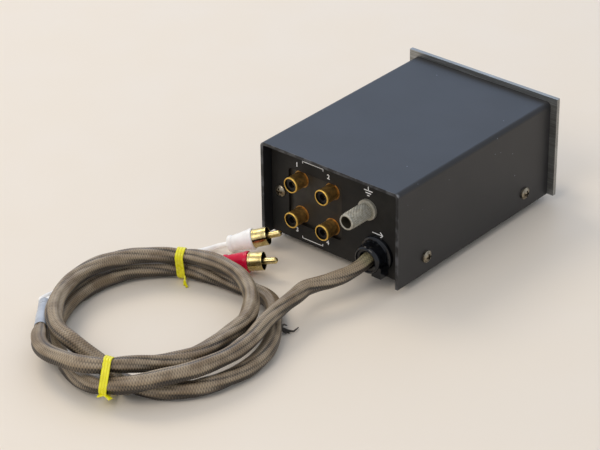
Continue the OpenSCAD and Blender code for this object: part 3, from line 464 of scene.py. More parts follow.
FINISHES: dict[str, Finish] = {
    # Sprayed semi-matt paint on steel sheet: soft sheen, faint orange peel, rubbed edges.
    "black_paint": WornPaint("semi-matt paint, sprayed on steel", "#191a1c", "#1d1d1f", 30.0, rough=0.44,
                             rough_spread=0.012, relief_mm=0.010, grain_mm=1.1),
    # The same paint on the chassis, thinner and flatter: it shows almost no sheen.
    "chassis_paint": Finish("matt paint, sprayed on steel", "#191816", "#211f1c", 9.0, rough=0.6,
                            rough_spread=0.06, relief_mm=0.012, grain_mm=0.9, specular=0.3),
    # Brushed aluminium with clear anodising: long scratches along X, soft grey shine.
    "panel_aluminium": Grain("aluminium, brushed and anodised", "#999a97", "#8a8a86", 9.0, metallic=1.0,
                             rough=0.5, rough_spread=0.05, relief_mm=0.006, grain_mm=0.5,
                             stretch=(0.03, 1.0, 1.0)),
    # Turned aluminium: fine rings, bright and a little uneven.
    "knob_aluminium": Grain("aluminium, turned", "#b4b5b3", "#9d9e9c", 7.0, metallic=1.0, rough=0.3,
                            rough_spread=0.06, relief_mm=0.008, grain_mm=0.4, stretch=(1.0, 0.06, 1.0)),
    # Nickel plate, yellowed with age: warm grey, dull in patches.
    "screw_nickel": Finish("nickel plate on steel, aged", "#a39a88", "#6f6657", 1.6, metallic=1.0, rough=0.36,
                           rough_spread=0.12, relief_mm=0.012, grain_mm=0.5),
    # Black oxide on steel: dark, with a thin oily shine.
    "set_screw_steel": Finish("steel, black oxide", "#2a2a2a", "#3a3937", 1.5, metallic=1.0, rough=0.4,
                              rough_spread=0.1, relief_mm=0.01, grain_mm=0.4),
    # Moulded rubber: dead black, dusty.
    "foot_rubber": Finish("rubber, moulded", "#18181a", "#232322", 3.0, rough=0.8, relief_mm=0.03,
                          grain_mm=0.7),
    # Pressed paper laminate: brown-black with a dull resin shine.
    "board_laminate": Finish("paper laminate, pressed", "#221f1a", "#2c2820", 5.0, rough=0.5,
                             rough_spread=0.06, relief_mm=0.01, grain_mm=0.8),
    # The same laminate without dye: tan, with paper fibres drawn out along Z.
    "wafer_laminate": Finish("paper laminate, punched", "#8a6a3d", "#74562f", 4.0, rough=0.55, relief_mm=0.02,
                             grain_mm=0.7, stretch=(1.0, 1.0, 0.3)),
    # Moulded nylon: milky white, waxy.
    "rotor_plastic": Finish("nylon, moulded", "#d8d3c4", "#c9c2ae", 4.0, rough=0.45, relief_mm=0.015,
                            grain_mm=1.0),
    # Thin gold plate on turned brass, tarnished: brown sides, a rim rubbed bright with a painted highlight on
    # it, painted shade in the bore.
    "jack_gold": RubbedGold("gold plate on brass, tarnished", "#d8aa60", "#ac854c", 2.4, metallic=0.9,
                            rough=0.46, rough_spread=0.08, relief_mm=0.012, grain_mm=0.5),
    # Moulded phenolic: black, satin.
    "black_insulator": Finish("phenolic, moulded", "#08080a", "#0e0e10", 2.0, rough=0.45, relief_mm=0.01,
                              grain_mm=0.5),
    # Nickel plate gone sandy grey on brass: dull all over.
    "terminal_nickel": Finish("nickel plate on brass, dull", "#cbc8bb", "#b9b5a7", 1.2, metallic=0.6,
                              rough=0.45, rough_spread=0.06, relief_mm=0.01, grain_mm=0.4),
    # The same plate on a pressed knurl: pale crowns, painted shade in the furrows and in the mouth.
    "knurled_nickel": Furrowed("nickel plate on brass, knurled", "#cbc8bb", "#b3af9f", 1.2, metallic=0.6,
                               rough=0.42, rough_spread=0.06, relief_mm=0.01, grain_mm=0.4, furrow="#4f4a3c"),
    # Moulded nylon, dyed through: glossy black.
    "gland_plastic": Finish("nylon, moulded, glossy", "#0c0d10", "#15171b", 4.0, rough=0.13,
                            rough_spread=0.05, relief_mm=0.01, grain_mm=1.2, coat=0.1, specular=0.35),
    # Zinc plated steel sheet: pale blue-grey.
    "selector_metal": Finish("zinc plate on steel", "#a9adb0", "#8d9194", 3.0, metallic=1.0, rough=0.35,
                             relief_mm=0.01, grain_mm=0.6),
    # Turned brass: warm yellow with fine rings.
    "shaft_brass": Grain("brass, turned", "#b9974e", "#9c7b3a", 3.0, metallic=1.0, rough=0.3, relief_mm=0.006,
                         grain_mm=0.4, stretch=(1.0, 0.05, 1.0)),
    # Drawn and annealed shield metal: satin grey with heat tint.
    "can_metal": Finish("nickel iron, drawn and annealed", "#9b9a95", "#8a8578", 8.0, metallic=1.0,
                        rough=0.42, relief_mm=0.01, grain_mm=0.8),
    # Stamped core sheets in a stack: dark steel, lines across Y.
    "core_steel": Grain("core steel, stacked sheets", "#5c5b58", "#47443f", 3.0, metallic=1.0, rough=0.45,
                        relief_mm=0.03, grain_mm=0.5, stretch=(0.05, 1.0, 0.05)),
    # Enamelled wire, wound in layers: orange copper with a lacquer shine, lines round Z.
    "winding_copper": Grain("copper wire, enamelled and wound", "#a8592a", "#8b4420", 3.0, metallic=0.8,
                            rough=0.3, relief_mm=0.08, grain_mm=0.5, stretch=(0.05, 0.05, 1.0),
                            scratch="#d98f55"),
    # Extruded vinyl on the wires: blue-grey, slightly shiny.
    "wire_insulation": Finish("vinyl, extruded", "#4a5a74", "#3f4e66", 5.0, rough=0.4, relief_mm=0.01,
                              grain_mm=0.8),
    # Braided rayon sleeve: taupe yarn, dusty, fuzzy, with painted shade in the gaps at each crossing, in its
    # furrows and underneath, and painted highlights on its crests and lumps.
    "cord_braid": Braid("rayon yarn, braided", "#b4a185", "#8e795e", 11.0, rough=0.42, rough_spread=0.08,
                        relief_mm=0.07, sheen=0.02),
    # Shrunk vinyl tube: pale blue-grey, smooth with soft creases.
    "shrink_grey": Finish("vinyl tube, shrunk on", "#b3bac3", "#a4abb5", 6.0, rough=0.36, relief_mm=0.05,
                          grain_mm=3.0),
    # Moulded vinyl: warm white, satin.
    "white_plastic": Finish("vinyl, moulded, white", "#fbf9f5", "#f3f0ea", 5.0, rough=0.34, relief_mm=0.012,
                            grain_mm=1.0),
    # The same vinyl, dyed red: deep and a little glossier.
    "red_plastic": Finish("vinyl, moulded, dyed red", "#de0f3d", "#c60b34", 5.0, rough=0.2, relief_mm=0.012,
                          grain_mm=1.0, specular=0.25),
    # Fresh gold flash on brass: yellow, bright, finely scratched.
    "plug_gold": Grain("gold flash on brass", "#d8c68f", "#bda96d", 2.5, metallic=1.0, rough=0.3,
                       rough_spread=0.06, relief_mm=0.006, grain_mm=0.5, scratch="#fff0bd"),
    # The same flash on a rolled shell: bright outside, in shade inside.
    "shell_gold": Furrowed("gold flash on rolled brass", "#d8c68f", "#bda96d", 2.5, metallic=1.0, rough=0.3,
                           rough_spread=0.06, relief_mm=0.006, grain_mm=0.5, furrow="#1c160c"),
    # Drawn vinyl strip over a wire: lemon yellow, glossy, lined along its length, with painted shade in its
    # two grooves.
    "tie_yellow": Furrowed("vinyl strip, drawn", "#f0e71c", "#e2d813", 3.0, rough=0.3, relief_mm=0.02),
    # White screen ink: warm white, slightly broken.
    "print_ink": Finish("screen ink, white", "#ffffff", "#ecebe6", 0.8, rough=0.55, relief_mm=0.004,
                        grain_mm=0.3),
    # Black screen ink: soft black, slightly broken.
    "print_black": Finish("screen ink, black", "#1a1a1a", "#262626", 0.8, rough=0.5, relief_mm=0.004,
                          grain_mm=0.3),
}


@dataclass
class Workshop:
    """Keeps the made materials and sets each finished mesh into the scene."""

    made: dict[str, bpy.types.Material] = field(default_factory=dict)

    def finish(self, key: str) -> bpy.types.Material:
        """The material of a finish, made when it is first asked for.

        Args:
            key: the finish.

        Returns:
            The material.
        """
        if key not in self.made:
            self.made[key] = FINISHES[key].make()
        return self.made[key]

    def place(self, name: str, shape: bmesh.types.BMesh, key: str, body: Body, slot: str,
              stands_for: Sequence[str] = (), crease: float = 35.0) -> bpy.types.Object:
        """Set a finished shape, drawn in millimetres, into the scene as a piece.

        Args:
            name: the piece's name.
            shape: its mesh, which is used up.
            key: its finish.
            body: the body that it rides on.
            slot: the record's material slot that it belongs to; not used.
            stands_for: the nodes that it replaces.
            crease: the angle in degrees from which an edge is shaded sharp.

        Returns:
            The piece.
        """
        bmesh.ops.scale(shape, vec=(MM, MM, MM), verts=shape.verts)
        mesh = bpy.data.meshes.new(name)
        shape.to_mesh(mesh)
        shape.free()
        mesh.materials.append(self.finish(key))
        mesh.shade_smooth()
        mesh.set_sharp_from_angle(angle=math.radians(crease))
        piece = bpy.data.objects.new(name, mesh)
        bpy.context.scene.collection.objects.link(piece)
        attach(piece, body.value)
        if stands_for:
            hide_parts(*stands_for)
        LOG.info("%s: %d faces, %s", name, len(mesh.polygons), key)
        return piece

    def dress(self, node: str, key: str) -> None:
        """Give a solid of the frame its finish.

        Args:
            node: the solid's node.
            key: the finish.
        """
        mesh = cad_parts[node].data
        mesh.materials.clear()
        mesh.materials.append(self.finish(key))
        LOG.info("%s: %s", node, key)


def lathe(profile: Sequence[Span], steps: int = 64, closed: bool = True,
          sweep_deg: float = 360.0) -> bmesh.types.BMesh:
    """Spin a profile about Z.

    Args:
        profile: radius and height of each point, in order.
        steps: the sides of the turned shape.
        closed: whether the last point joins the first.
        sweep_deg: how far it is spun; less than a full turn leaves a slit with flat ends.

    Returns:
        The turned shell.
    """
    shape = bmesh.new()
    points = [shape.verts.new((r, 0.0, z)) for r, z in profile]
    pairs = list(zip(points, points[1:])) + ([(points[-1], points[0])] if closed else [])
    lines = [shape.edges.new(pair) for pair in pairs]
    full = sweep_deg >= 360.0
    last = bmesh.ops.spin(shape, geom=points + lines, cent=(0, 0, 0), axis=UP, angle=math.radians(sweep_deg),
                          steps=steps, use_merge=full)["geom_last"]
    if not full:
        bmesh.ops.edgeloop_fill(shape, edges=lines)
        bmesh.ops.edgeloop_fill(shape, edges=[g for g in last if isinstance(g, bmesh.types.BMEdge)])
    bmesh.ops.remove_doubles(shape, verts=shape.verts, dist=MERGE)
    bmesh.ops.recalc_face_normals(shape, faces=shape.faces)
    return shape


def mark_bore(shape: bmesh.types.BMesh, radius: float) -> None:
    """Mark a turned shape for painted shade inside a radius and for full painted light outside it.

    Args:
        shape: the shape, drawn about Z.
        radius: where the inside ends.
    """
    painted_light = shape.verts.layers.float.new(PAINTED_LIGHT)
    for vert in shape.verts:
        vert[painted_light] = 0.0 if vert.co.xy.length < radius else 1.0


def aim(shape: bmesh.types.BMesh, at: Sequence[float], axis: Sequence[float]) -> bmesh.types.BMesh:
    """Turn a shape's Z axis to a direction and move its origin to a place.

    Args:
        shape: the shape, drawn about Z.
        at: where its origin goes.
        axis: where its Z axis points.

    Returns:
        The same shape.
    """
    turn = Vector(axis).normalized().to_track_quat("Z", "Y").to_matrix().to_4x4()
    bmesh.ops.transform(shape, matrix=Matrix.Translation(Vector(at)) @ turn, verts=shape.verts)
    return shape


def loft(rings: Sequence[Sequence[Vector]], painted_lights: Sequence[Sequence[float]],
         loop: bool = False) -> bmesh.types.BMesh:
    """Join rings of points into a tube with a UV map: U round it, V along it in metres.

    Args:
        rings: the rings, each with as many points.
        painted_lights: the share of painted light at each point, from 0 in a groove, where shade is painted,
            to 1 on a ridge.
        loop: whether the last ring joins the first; otherwise both ends are capped.

    Returns:
        The tube.
    """
    shape = bmesh.new()
    layer = shape.loops.layers.uv.new("UVMap")
    painted_light = shape.verts.layers.float.new(PAINTED_LIGHT)
    rows = [[shape.verts.new(p) for p in ring] for ring in rings]
    for row, marks in zip(rows, painted_lights):
        for vert, mark in zip(row, marks):
            vert[painted_light] = mark
    count = len(rows[0])
    middles = [sum(ring, Vector()) / count for ring in rings]
    ways = [0.0]
    for one, two in zip(middles, middles[1:]):
        ways.append(ways[-1] + (two - one).length * MM)
    for i in range(len(rows) if loop else len(rows) - 1):
        j = (i + 1) % len(rows)
        far = ways[i] + (middles[j] - middles[i]).length * MM
        for k in range(count):
            m = (k + 1) % count
            face = shape.faces.new((rows[i][k], rows[i][m], rows[j][m], rows[j][k]))
            for corner, uv in zip(face.loops, ((k, ways[i]), (k + 1, ways[i]), (k + 1, far), (k, far))):
                corner[layer].uv = (uv[0] / count, uv[1])
    if not loop:
        shape.faces.new(list(reversed(rows[0])))
        shape.faces.new(rows[-1])
    bmesh.ops.recalc_face_normals(shape, faces=shape.faces)
    return shape


def axes_at(path: Sequence[Vector], i: int) -> tuple[Vector, Vector]:
    """The axes across a path that is nowhere upright.

    Args:
        path: the path.
        i: the number of the point on it.

    Returns:
        The sideways axis and the upward one.
    """
    ahead, back = path[min(i + 1, len(path) - 1)], path[max(i - 1, 0)]
    heading = (ahead - back).normalized()
    across = heading.cross(UP).normalized()
    return across, across.cross(heading)


def sweep(path: Sequence[Vector], reach: Callable[[float, float], tuple[float, float]],
          sides: int) -> bmesh.types.BMesh:
    """Sweep a round section along a path that is nowhere upright.

    Args:
        path: the centre line, in millimetres.
        reach: the section's radius and share of painted light for a way along the path and an angle round it.
        sides: the points round the section.

    Returns:
        The tube.
    """
    rings, painted_lights, way = [], [], 0.0
    angles = [math.tau * k / sides for k in range(sides)]
    for i, here in enumerate(path):
        across, upward = axes_at(path, i)
        way += (here - path[i - 1]).length if i else 0.0
        found = [reach(way, a) for a in angles]
        rings.append([here + (across * math.cos(a) + upward * math.sin(a)) * r
                      for a, (r, _) in zip(angles, found)])
        painted_lights.append([painted_light for _, painted_light in found])
    return loft(rings, painted_lights)


def even(path: Sequence[Vector], step: float) -> list[Vector]:
    """Points at even distances along a path.

    Args:
        path: the path.
        step: about the distance from point to point.

    Returns:
        The points, both ends among them.
    """
    total = sum((two - one).length for one, two in zip(path, path[1:]))
    gap = total / round(total / step)
    found, left = [path[0]], gap
    for one, two in zip(path, path[1:]):
        stretch = (two - one).length
        at = left
        while at <= stretch + 1e-6:
            found.append(one.lerp(two, min(1.0, at / stretch)))
            at += gap
        left = at - stretch
    return found


def spline(route: Sequence[Vector], steps: int) -> list[Vector]:
    """Points on a smooth curve through a route, whose first and last stretches are straight.

    Args:
        route: the points that the curve passes.
        steps: the points on each stretch.

    Returns:
        The curve's points.
    """
    found = []
    for i in range(len(route) - 1):
        before, one, two = route[max(i - 1, 0)], route[i], route[i + 1]
        after = route[min(i + 2, len(route) - 1)]
        for k in range(steps):
            t = k / steps
            if i in (0, len(route) - 2):
                found.append(one.lerp(two, t))
                continue
            found.append(0.5 * (2 * one + (two - before) * t
                                + (2 * before - 5 * one + 4 * two - after) * t ** 2
                                + (3 * one - before - 3 * two + after) * t ** 3))
    return found + [route[-1]]


def length_of(path: Sequence[Vector]) -> float:
    """A path's length in metres."""
    return sum((two - one).length for one, two in zip(path, path[1:])) * MM


def ease(low: float, high: float, at: float) -> float:
    """A smooth step from 0 to 1 between two places."""
    t = min(1.0, max(0.0, (at - low) / (high - low)))
    return t * t * (3 - 2 * t)


def swell(at: float, middle: float, width: float, height: float) -> float:
    """A bell of some height round a place."""
    return height * math.exp(-((at - middle) / width) ** 2)


@dataclass
class CoilLay:
    """How the output cord's loops lie, as in the part's source."""

    centre: Span = (20.0, 160.5)
    start: float = 232.0
    first: float = 10.0
    last: float = 895.0
    radius: float = 49.0
    layer: float = 9.0
    floor: float = 0.4
    cord_d: float = 8.4
    swells: tuple[Triple, ...] = (
        (-6, 18, 13.5), (30, 30, -1.5), (120, 30, 9), (258, 36, 4.5), (290, 28, 2), (346, 18, 5.5),
        (400, 34, 3), (450, 30, 3), (500, 24, -9), (606, 36, 4.5), (670, 36, 1.5),
        (720, 34, -6), (770, 34, -11), (820, 30, -5), (852, 16, 5), (882, 28, 10))
    drop: Span = (95.0, 150.0)
    climb: Span = (494.0, 528.0)
    heap: Triple = (850.0, 20.0, 0.3)
    settle: Triple = (865.0, 900.0, 0.3)

    def point(self, at: float) -> Vector:
        """The cord's centre at a place along the loops.

        Args:
            at: the place, in degrees.

        Returns:
            The centre.
        """
        reach = self.radius + sum(swell(at, *s) for s in self.swells)
        level = (1 - ease(*self.drop, at) + ease(*self.climb, at) + swell(at, *self.heap)
                 - self.settle[2] * ease(self.settle[0], self.settle[1], at))
        turn = math.radians(self.start - at)
        return Vector((self.centre[0] + reach * math.cos(turn), self.centre[1] + reach * math.sin(turn),
                       self.floor + self.cord_d / 2 + self.layer * level))

    def heading(self, at: float) -> Vector:
        """The cord's direction at a place along the loops."""
        return (self.point(at + 0.5) - self.point(at - 0.5)).normalized()


@dataclass
class BraidSection:
    """The braided cord's section: cores that show as ridges, lumps, picks, and places that are drawn in."""

    total: float
    tied: Sequence[float]
    pick_mm: float
    sides: int
    core_r: float = 3.18
    ridge_h: float = 1.0
    pick_h: float = 0.09
    lump_h: Span = (0.14, 0.08)
    lump_mm: Triple = (5.3, 17.0, 3.1)
    lump_highlight: float = 0.5
    lobes: float = 2.0
    lobe_twist_mm: float = 230.0
    lobe_sway: Span = (0.6, 37.0)
    lobe_share: float = 0.42
    folds: float = 3.5
    fold_twist_mm: float = 310.0
    fold_sway: Triple = (0.5, 23.0, 1.0)
    fold_share: float = 0.58
    softness: float = 0.03
    furrow_shade_depth: Triple = (0.60, 0.28, 27.0)
    furrow_edge: float = 0.7
    under_shade: Span = (0.42, 0.58)
    under_span: Span = (-0.5, 0.7)
    tie_bite: float = 0.15
    tie_mm: float = 4.0
    end_squeeze: float = 0.70
    end_mm: Span = (1.0, 9.0)
    lead_squeeze: Triple = (0.85, 0.10, 0.05)
    lead_mm: Span = (24.0, 44.0)
    coil_mm: Span = (70.0, 130.0)

    def fold(self, way: float, angle: float) -> float:
        """The fine ridges.

        Args:
            way: the way along the cord.
            angle: the angle round it.

        Returns:
            The height, from about 0.2 in a furrow to 1 on a ridge.
        """
        swing, long, shift = self.fold_sway
        fine = -math.tau * way / self.fold_twist_mm + swing * math.sin(way / long + shift)
        return math.sqrt(math.cos(self.folds * (angle - fine)) ** 2 + self.softness)

    def lobe(self, way: float, angle: float) -> float:
        """The broad ridges over the cores.

        Args:
            way: the way along the cord.
            angle: the angle round it.

        Returns:
            The height, from about 0.2 between the cores to 1 over them.
        """
        swing, long = self.lobe_sway
        wide = math.tau * way / self.lobe_twist_mm + swing * math.sin(way / long)
        return math.sqrt(math.cos(self.lobes * (angle - wide)) ** 2 + self.softness)

    def squeeze(self, way: float) -> float:
        """How far the cord is drawn in by its end, by its ties and where it leaves the case.

        Args:
            way: the way along the cord.

        Returns:
            The share of the full radius.
        """
        start, stretch = self.end_mm
        end = self.end_squeeze + (1.0 - self.end_squeeze) * ease(0.0, stretch, self.total - way - start)
        tie = 1.0 - sum(swell(way, at, self.tie_mm, self.tie_bite) for at in self.tied)
        thin, fuller, full = self.lead_squeeze
        return end * tie * (thin + fuller * ease(*self.lead_mm, way) + full * ease(*self.coil_mm, way))

    def reach(self, way: float, angle: float) -> tuple[float, float]:
        """The section at a place.

        Args:
            way: the way along the cord.
            angle: the angle round it, from its side.

        Returns:
            The radius, and the share of painted light, which is less in the furrows and underneath, where
            shade is painted, and more on the lumps, where a highlight is painted.
        """
        fold = self.fold(way, angle)
        ridge = self.lobe_share * self.lobe(way, angle) + self.fold_share * fold
        # Painted shade in the furrows, deeper in some stretches than in others.
        depth, swing, long = self.furrow_shade_depth
        crease_shade = depth + swing * math.sin(way / long + 2 * angle)
        painted_light = 1.0 - crease_shade * (1.0 - fold ** self.furrow_edge)
        # Painted shade underneath.
        under, upper = self.under_shade
        painted_light *= under + upper * ease(*self.under_span, math.sin(angle))
        pick = math.cos(self.sides / 4 * angle) * math.cos(math.pi * way / self.pick_mm)
        (high, low), (one, two, three) = self.lump_h, self.lump_mm
        lump = high * math.sin(way / one) * math.sin(way / two) + low * math.sin(way / three + 2 * angle)
        radius = self.core_r + self.ridge_h * ridge + lump + self.pick_h * pick
        # Each lump gets a painted highlight and each dip painted shade.
        return radius * self.squeeze(way), min(1.0, max(0.0, painted_light + self.lump_highlight * lump))


@dataclass
class CoilTie:
    """A twist tie: a ribbed strip round the loops, with two free ends."""

    node: str
    places: tuple[float, ...]
    skew: float
    end_w: float
    end_t: float
    ends: tuple[tuple[Point, ...], ...]
    width: float = 4.0
    thick: float = 0.7
    inner_r: float = 3.5
    steps: int = 96
    waves: int = 3
    wave: float = 0.15
    lowest: float = 0.12
    key: str = "tie_yellow"
    # Across the strip, out from the coil, and the share of painted light, which is 0 in its two grooves,
    # where shade is painted.
    section: tuple[Triple, ...] = (
        (-0.5, 0.2, 1), (-0.42, 0, 1), (0.42, 0, 1), (0.5, 0.2, 1), (0.5, 0.8, 1), (0.42, 1, 1),
        (0.26, 1, 1), (0.18, 0.8, 0), (0.1, 1, 1), (-0.1, 1, 1), (-0.18, 0.8, 0), (-0.26, 1, 1),
        (-0.42, 1, 1), (-0.5, 0.8, 1))
    end_steps: int = 6
    end_section: tuple[Span, ...] = ((-1, -0.3), (1, -0.3), (1, 0.3), (0.8, 0.5), (-0.8, 0.5), (-1, 0.3))

    def build_wrap(self, shop: Workshop, lay: CoilLay) -> None:
        """Wrap the strip round the loops.

        Args:
            shop: sets the piece into the scene.
            lay: how the loops lie.
        """
        centres = [lay.point(p) for p in self.places]
        middle = sum(centres, Vector()) / len(centres)
        heading = lay.heading(self.places[0])
        heading.z = 0.0
        heading.normalize()
        across = Vector((-heading.y, heading.x, 0.0))
        spots = [centre - middle for centre in centres]
        rings = []
        for i in range(self.steps):
            turn = math.tau * i / self.steps
            out = across * math.cos(turn) + Vector((0, 0, math.sin(turn)))
            inner = max(spots, key=lambda s: s.dot(out))
            base = middle + across * inner.dot(across) + Vector((0, 0, inner.z)) + out * self.inner_r
            lift = (self.wave * math.sin(self.waves * turn + len(spots))
                    + self.skew * (base - middle).dot(across))
            ring = [base + heading * (w * self.width + lift) + out * (t * self.thick)
                    for w, t, _ in self.section]
            rings.append([Vector((p.x, p.y, max(p.z, self.lowest))) for p in ring])
        painted_lights = [[painted_light for _, _, painted_light in self.section]] * len(rings)
        shop.place(f"{self.node}_wrap", loft(rings, painted_lights, True), self.key, Body.CASE, self.key, (self.node,),
                   crease=40.0)

    def build_ends(self, shop: Workshop) -> None:
        """Lay the two free ends as flat strips that widen outwards.

        Args:
            shop: sets the pieces into the scene.
        """
        for number, route in enumerate(self.ends, 1):
            path = spline([Vector(p) for p in route], self.end_steps)
            rings = []
            for i, here in enumerate(path):
                across, upward = axes_at(path, i)
                half = (0.5 + 0.5 * i / (len(path) - 1)) * self.end_w / 2
                rings.append([here + across * half * w + upward * self.end_t * t
                              for w, t in self.end_section])
            shape = loft(rings, [[1.0] * len(self.end_section)] * len(rings))
            shop.place(f"{self.node}_end_{number}", shape, self.key, Body.CASE, self.key, crease=40.0)


@dataclass
class Plug:
    """A phono plug at the end of a tail: moulded cover with a stepped ring, slit shell and pin."""

    side: Channel
    at: Point
    turn: float
    tilt: float
    key: str
    slit_turn: float
    tail_way: int
    tail: tuple[Point, ...]
    cover: Profile = (
        (0.0, 0.0), (1.9, 0.0), (3.5, 0.15), (4.0, 0.6), (4.1, 1.2), (4.1, 2.2), (3.85, 2.6), (3.75, 3.0),
        (3.9, 3.5), (5.05, 11.3), (5.3, 11.7), (5.3, 13.1), (5.0, 13.5), (1.7, 13.5), (1.7, 9.5), (0.0, 9.5))
    shell: Profile = (
        (4.05, 13.5), (4.6, 13.5), (4.7, 13.65), (4.7, 14.1), (4.55, 14.4), (4.5, 15.1), (4.5, 20.1),
        (4.55, 20.4), (4.5, 20.8), (4.3, 20.9), (4.2, 20.7), (4.15, 15.1))
    shell_bore: float = 4.25
    shell_sweep: float = 350.0

    def heading(self) -> Vector:
        """Where the plug points."""
        turn, tilt = math.radians(self.turn), math.radians(self.tilt)
        return Vector((math.cos(tilt) * math.cos(turn), math.cos(tilt) * math.sin(turn), math.sin(tilt)))

    def build(self, shop: Workshop) -> list[bpy.types.Object]:
        """Mould the cover, roll the shell with its slit and two rims, and dress the pin.

        Args:
            shop: sets the pieces into the scene.

        Returns:
            The pieces, with the frame's pin.
        """
        name, way = f"{self.side.value}_plug", self.heading()
        cover = aim(lathe(self.cover, steps=56, closed=False), self.at, way)
        made = [shop.place(f"{name}_cover", cover, self.key, Body.CASE, self.key, (f"{name}_body",),
                           crease=30.0)]
        shell = lathe(self.shell, steps=72, sweep_deg=self.shell_sweep)
        # Painted shade inside the shell.
        mark_bore(shell, self.shell_bore)
        slit = Matrix.Rotation(math.radians(self.slit_turn), 3, "Z")
        bmesh.ops.rotate(shell, cent=(0, 0, 0), matrix=slit, verts=shell.verts)
        made.append(shop.place(f"{name}_ring", aim(shell, self.at, way), "shell_gold", Body.CASE, "plug_gold",
                               (f"{name}_shell",), crease=40.0))
        shop.dress(f"{name}_pin", "plug_gold")
        return made + [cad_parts[f"{name}_pin"]]


@dataclass
class OutputCord:
    """The braided cord, its coil, ties, split sleeve, white tails and two plugs."""

    lay: CoilLay = field(default_factory=CoilLay)
    gland: Point = (-25.7, 68.35, 15.6)
    inside_y: float = 48.35
    mouth_l: float = 3.0
    droop: float = 1.2
    lead_points: tuple[Point, ...] = (
        (-24.5, 83, 14), (-22.3, 90, 13.7), (-19.5, 97, 13.6), (-17.5, 103, 13.6))
    lead_steps: int = 8
    guide_deg: float = 10.0
    loop_step_deg: float = 1.5
    end_ways: tuple[float, ...] = (2.0, 4.0, 6.0, 8.4, 10.5)
    pick_mm: float = 0.62
    sides: int = 36
    sleeve_gap: float = 0.35
    sleeve_l: float = 24.5
    sleeve_r: Span = (3.2, 2.8)
    sleeve_wall: float = 0.45
    tail_d: float = 2.8
    tail_apart: float = 3.2
    tail_steps: int = 10
    tail_sides: int = 16
    plugs: tuple[Plug, ...] = (
        Plug(Channel.LEFT, at=(48.3, 83.3, 4.2), turn=211.0, tilt=18.0, key="white_plastic",
             slit_turn=171.0, tail_way=-1, tail=(
                 (79, 176, 6.8), (82, 170, 4), (85, 161.5, 1.8), (86, 152, 1.6), (84.5, 142, 1.6),
                 (80, 131.5, 1.6), (73.5, 121, 1.6), (66.5, 111, 1.6), (62.3, 103, 1.6), (58.3, 96, 1.6),
                 (55.2, 90, 1.8))),
        Plug(Channel.RIGHT, at=(38.3, 98.4, 4.2), turn=206.5, tilt=10.5, key="red_plastic",
             slit_turn=250.0, tail_way=1, tail=(
                 (75, 176, 6.8), (77.5, 171, 4), (80.5, 163, 1.8), (81.8, 153.5, 1.6), (80.5, 144, 1.6),
                 (76.5, 134.5, 1.6), (70, 124.5, 1.6), (62, 116.5, 1.6), (55, 110.5, 1.6), (49, 105.2, 2))))
    ties: tuple[CoilTie, ...] = (
        CoilTie("upper_coil_tie", places=(289.5, 649.5), skew=0.0, end_w=1.3, end_t=0.8, ends=(
            ((45.2, 118.0, 3.4), (44.6, 119.0, 1.8), (44.0, 119.8, 1.1), (42.7, 121.0, 0.6)),
            ((45.2, 118.0, 3.4), (44.3, 119.2, 1.8), (43.0, 120.3, 1.1), (40.6, 121.7, 0.6)))),
        CoilTie("lower_coil_tie", places=(125.0, 485.0, 845.0), skew=-0.24, end_w=2.2, end_t=0.7, ends=(
            ((0.6, 218.6, 6.4), (1.2, 219.1, 6.2), (1.9, 219.5, 5.9), (2.9, 219.9, 5.5)),
            ((0.2, 218.5, 6.4), (-1.2, 218.6, 6.5), (-2.6, 218.7, 6.4), (-4.0, 218.9, 6.2)))))
    frays: tuple[tuple[Point, ...], ...] = (
        ((-20.56, 123.75, 3.2), (-21.8, 122.9, 2.7), (-23.22, 121.91, 2.0), (-24.61, 119.3, 1.0),
         (-23.86, 115.29, 0.7)),
        ((-20.7, 123.93, 2.8), (-21.5, 123.5, 2.2), (-22.29, 122.97, 1.6), (-23.87, 121.64, 0.6)),
        ((-20.41, 123.57, 3.6), (-19.9, 122.0, 3.4), (-19.45, 120.35, 3.0), (-19.63, 118.46, 1.6)),
        ((-20.96, 123.87, 2.6), (-22.0, 123.5, 1.9), (-22.96, 123.05, 1.2), (-23.4, 120.03, 0.6)))
    fray_r: float = 0.7
    fray_thins: float = 0.45
    # The loose threads get painted shade: little of the painted light.
    fray_light: float = 0.25
    fray_steps: int = 6
    fray_sides: int = 8

    def main_path(self) -> list[Vector]:
        """The main cord's centre line.

        Returns:
            Its points, from inside the case to inside the sleeve.
        """
        lay, gland = self.lay, Vector(self.gland)
        enter = lay.point(lay.first) - lay.heading(lay.first) * lay.cord_d
        route = [Vector((gland.x, self.inside_y, gland.z)), gland - Vector((0, self.mouth_l, 0)),
                 gland + Vector((0, lay.cord_d / 2, -self.droop))]
        route += [Vector(p) for p in self.lead_points] + [enter - lay.heading(lay.first) * lay.cord_d / 2]
        route += [enter, lay.point(lay.first), lay.point(lay.first + self.guide_deg)]
        # The last stretch only guides the curve, so its points are left off.
        lead = spline(route, self.lead_steps)[:-self.lead_steps - 1]
        steps = int((lay.last - lay.first) / self.loop_step_deg)
        loops = [lay.point(lay.first + (lay.last - lay.first) * i / steps) for i in range(steps + 1)]
        return lead + loops + [loops[-1] + lay.heading(lay.last) * way for way in self.end_ways]

    def build_main(self, shop: Workshop) -> tuple[bpy.types.Object, list[Vector]]:
        """The braided cord in one piece, from the case to the sleeve, pulled in at each tie.

        Args:
            shop: sets the piece into the scene.

        Returns:
            The cord and its centre line.
        """
        path = even(self.main_path(), self.pick_mm)
        total = length_of(path) / MM
        tied = []
        for spot in (self.lay.point(at) for tie in self.ties for at in tie.places):
            nearest = min(range(len(path)), key=lambda i: (path[i] - spot).length)
            tied.append(nearest * total / (len(path) - 1))
        section = BraidSection(total, tied, self.pick_mm, self.sides)
        piece = shop.place("output_cord", sweep(path, section.reach, self.sides), "cord_braid", Body.CASE,
                           "cord_braid", ("output_cord_lead", "output_cord_coil"), crease=80.0)
        return piece, path

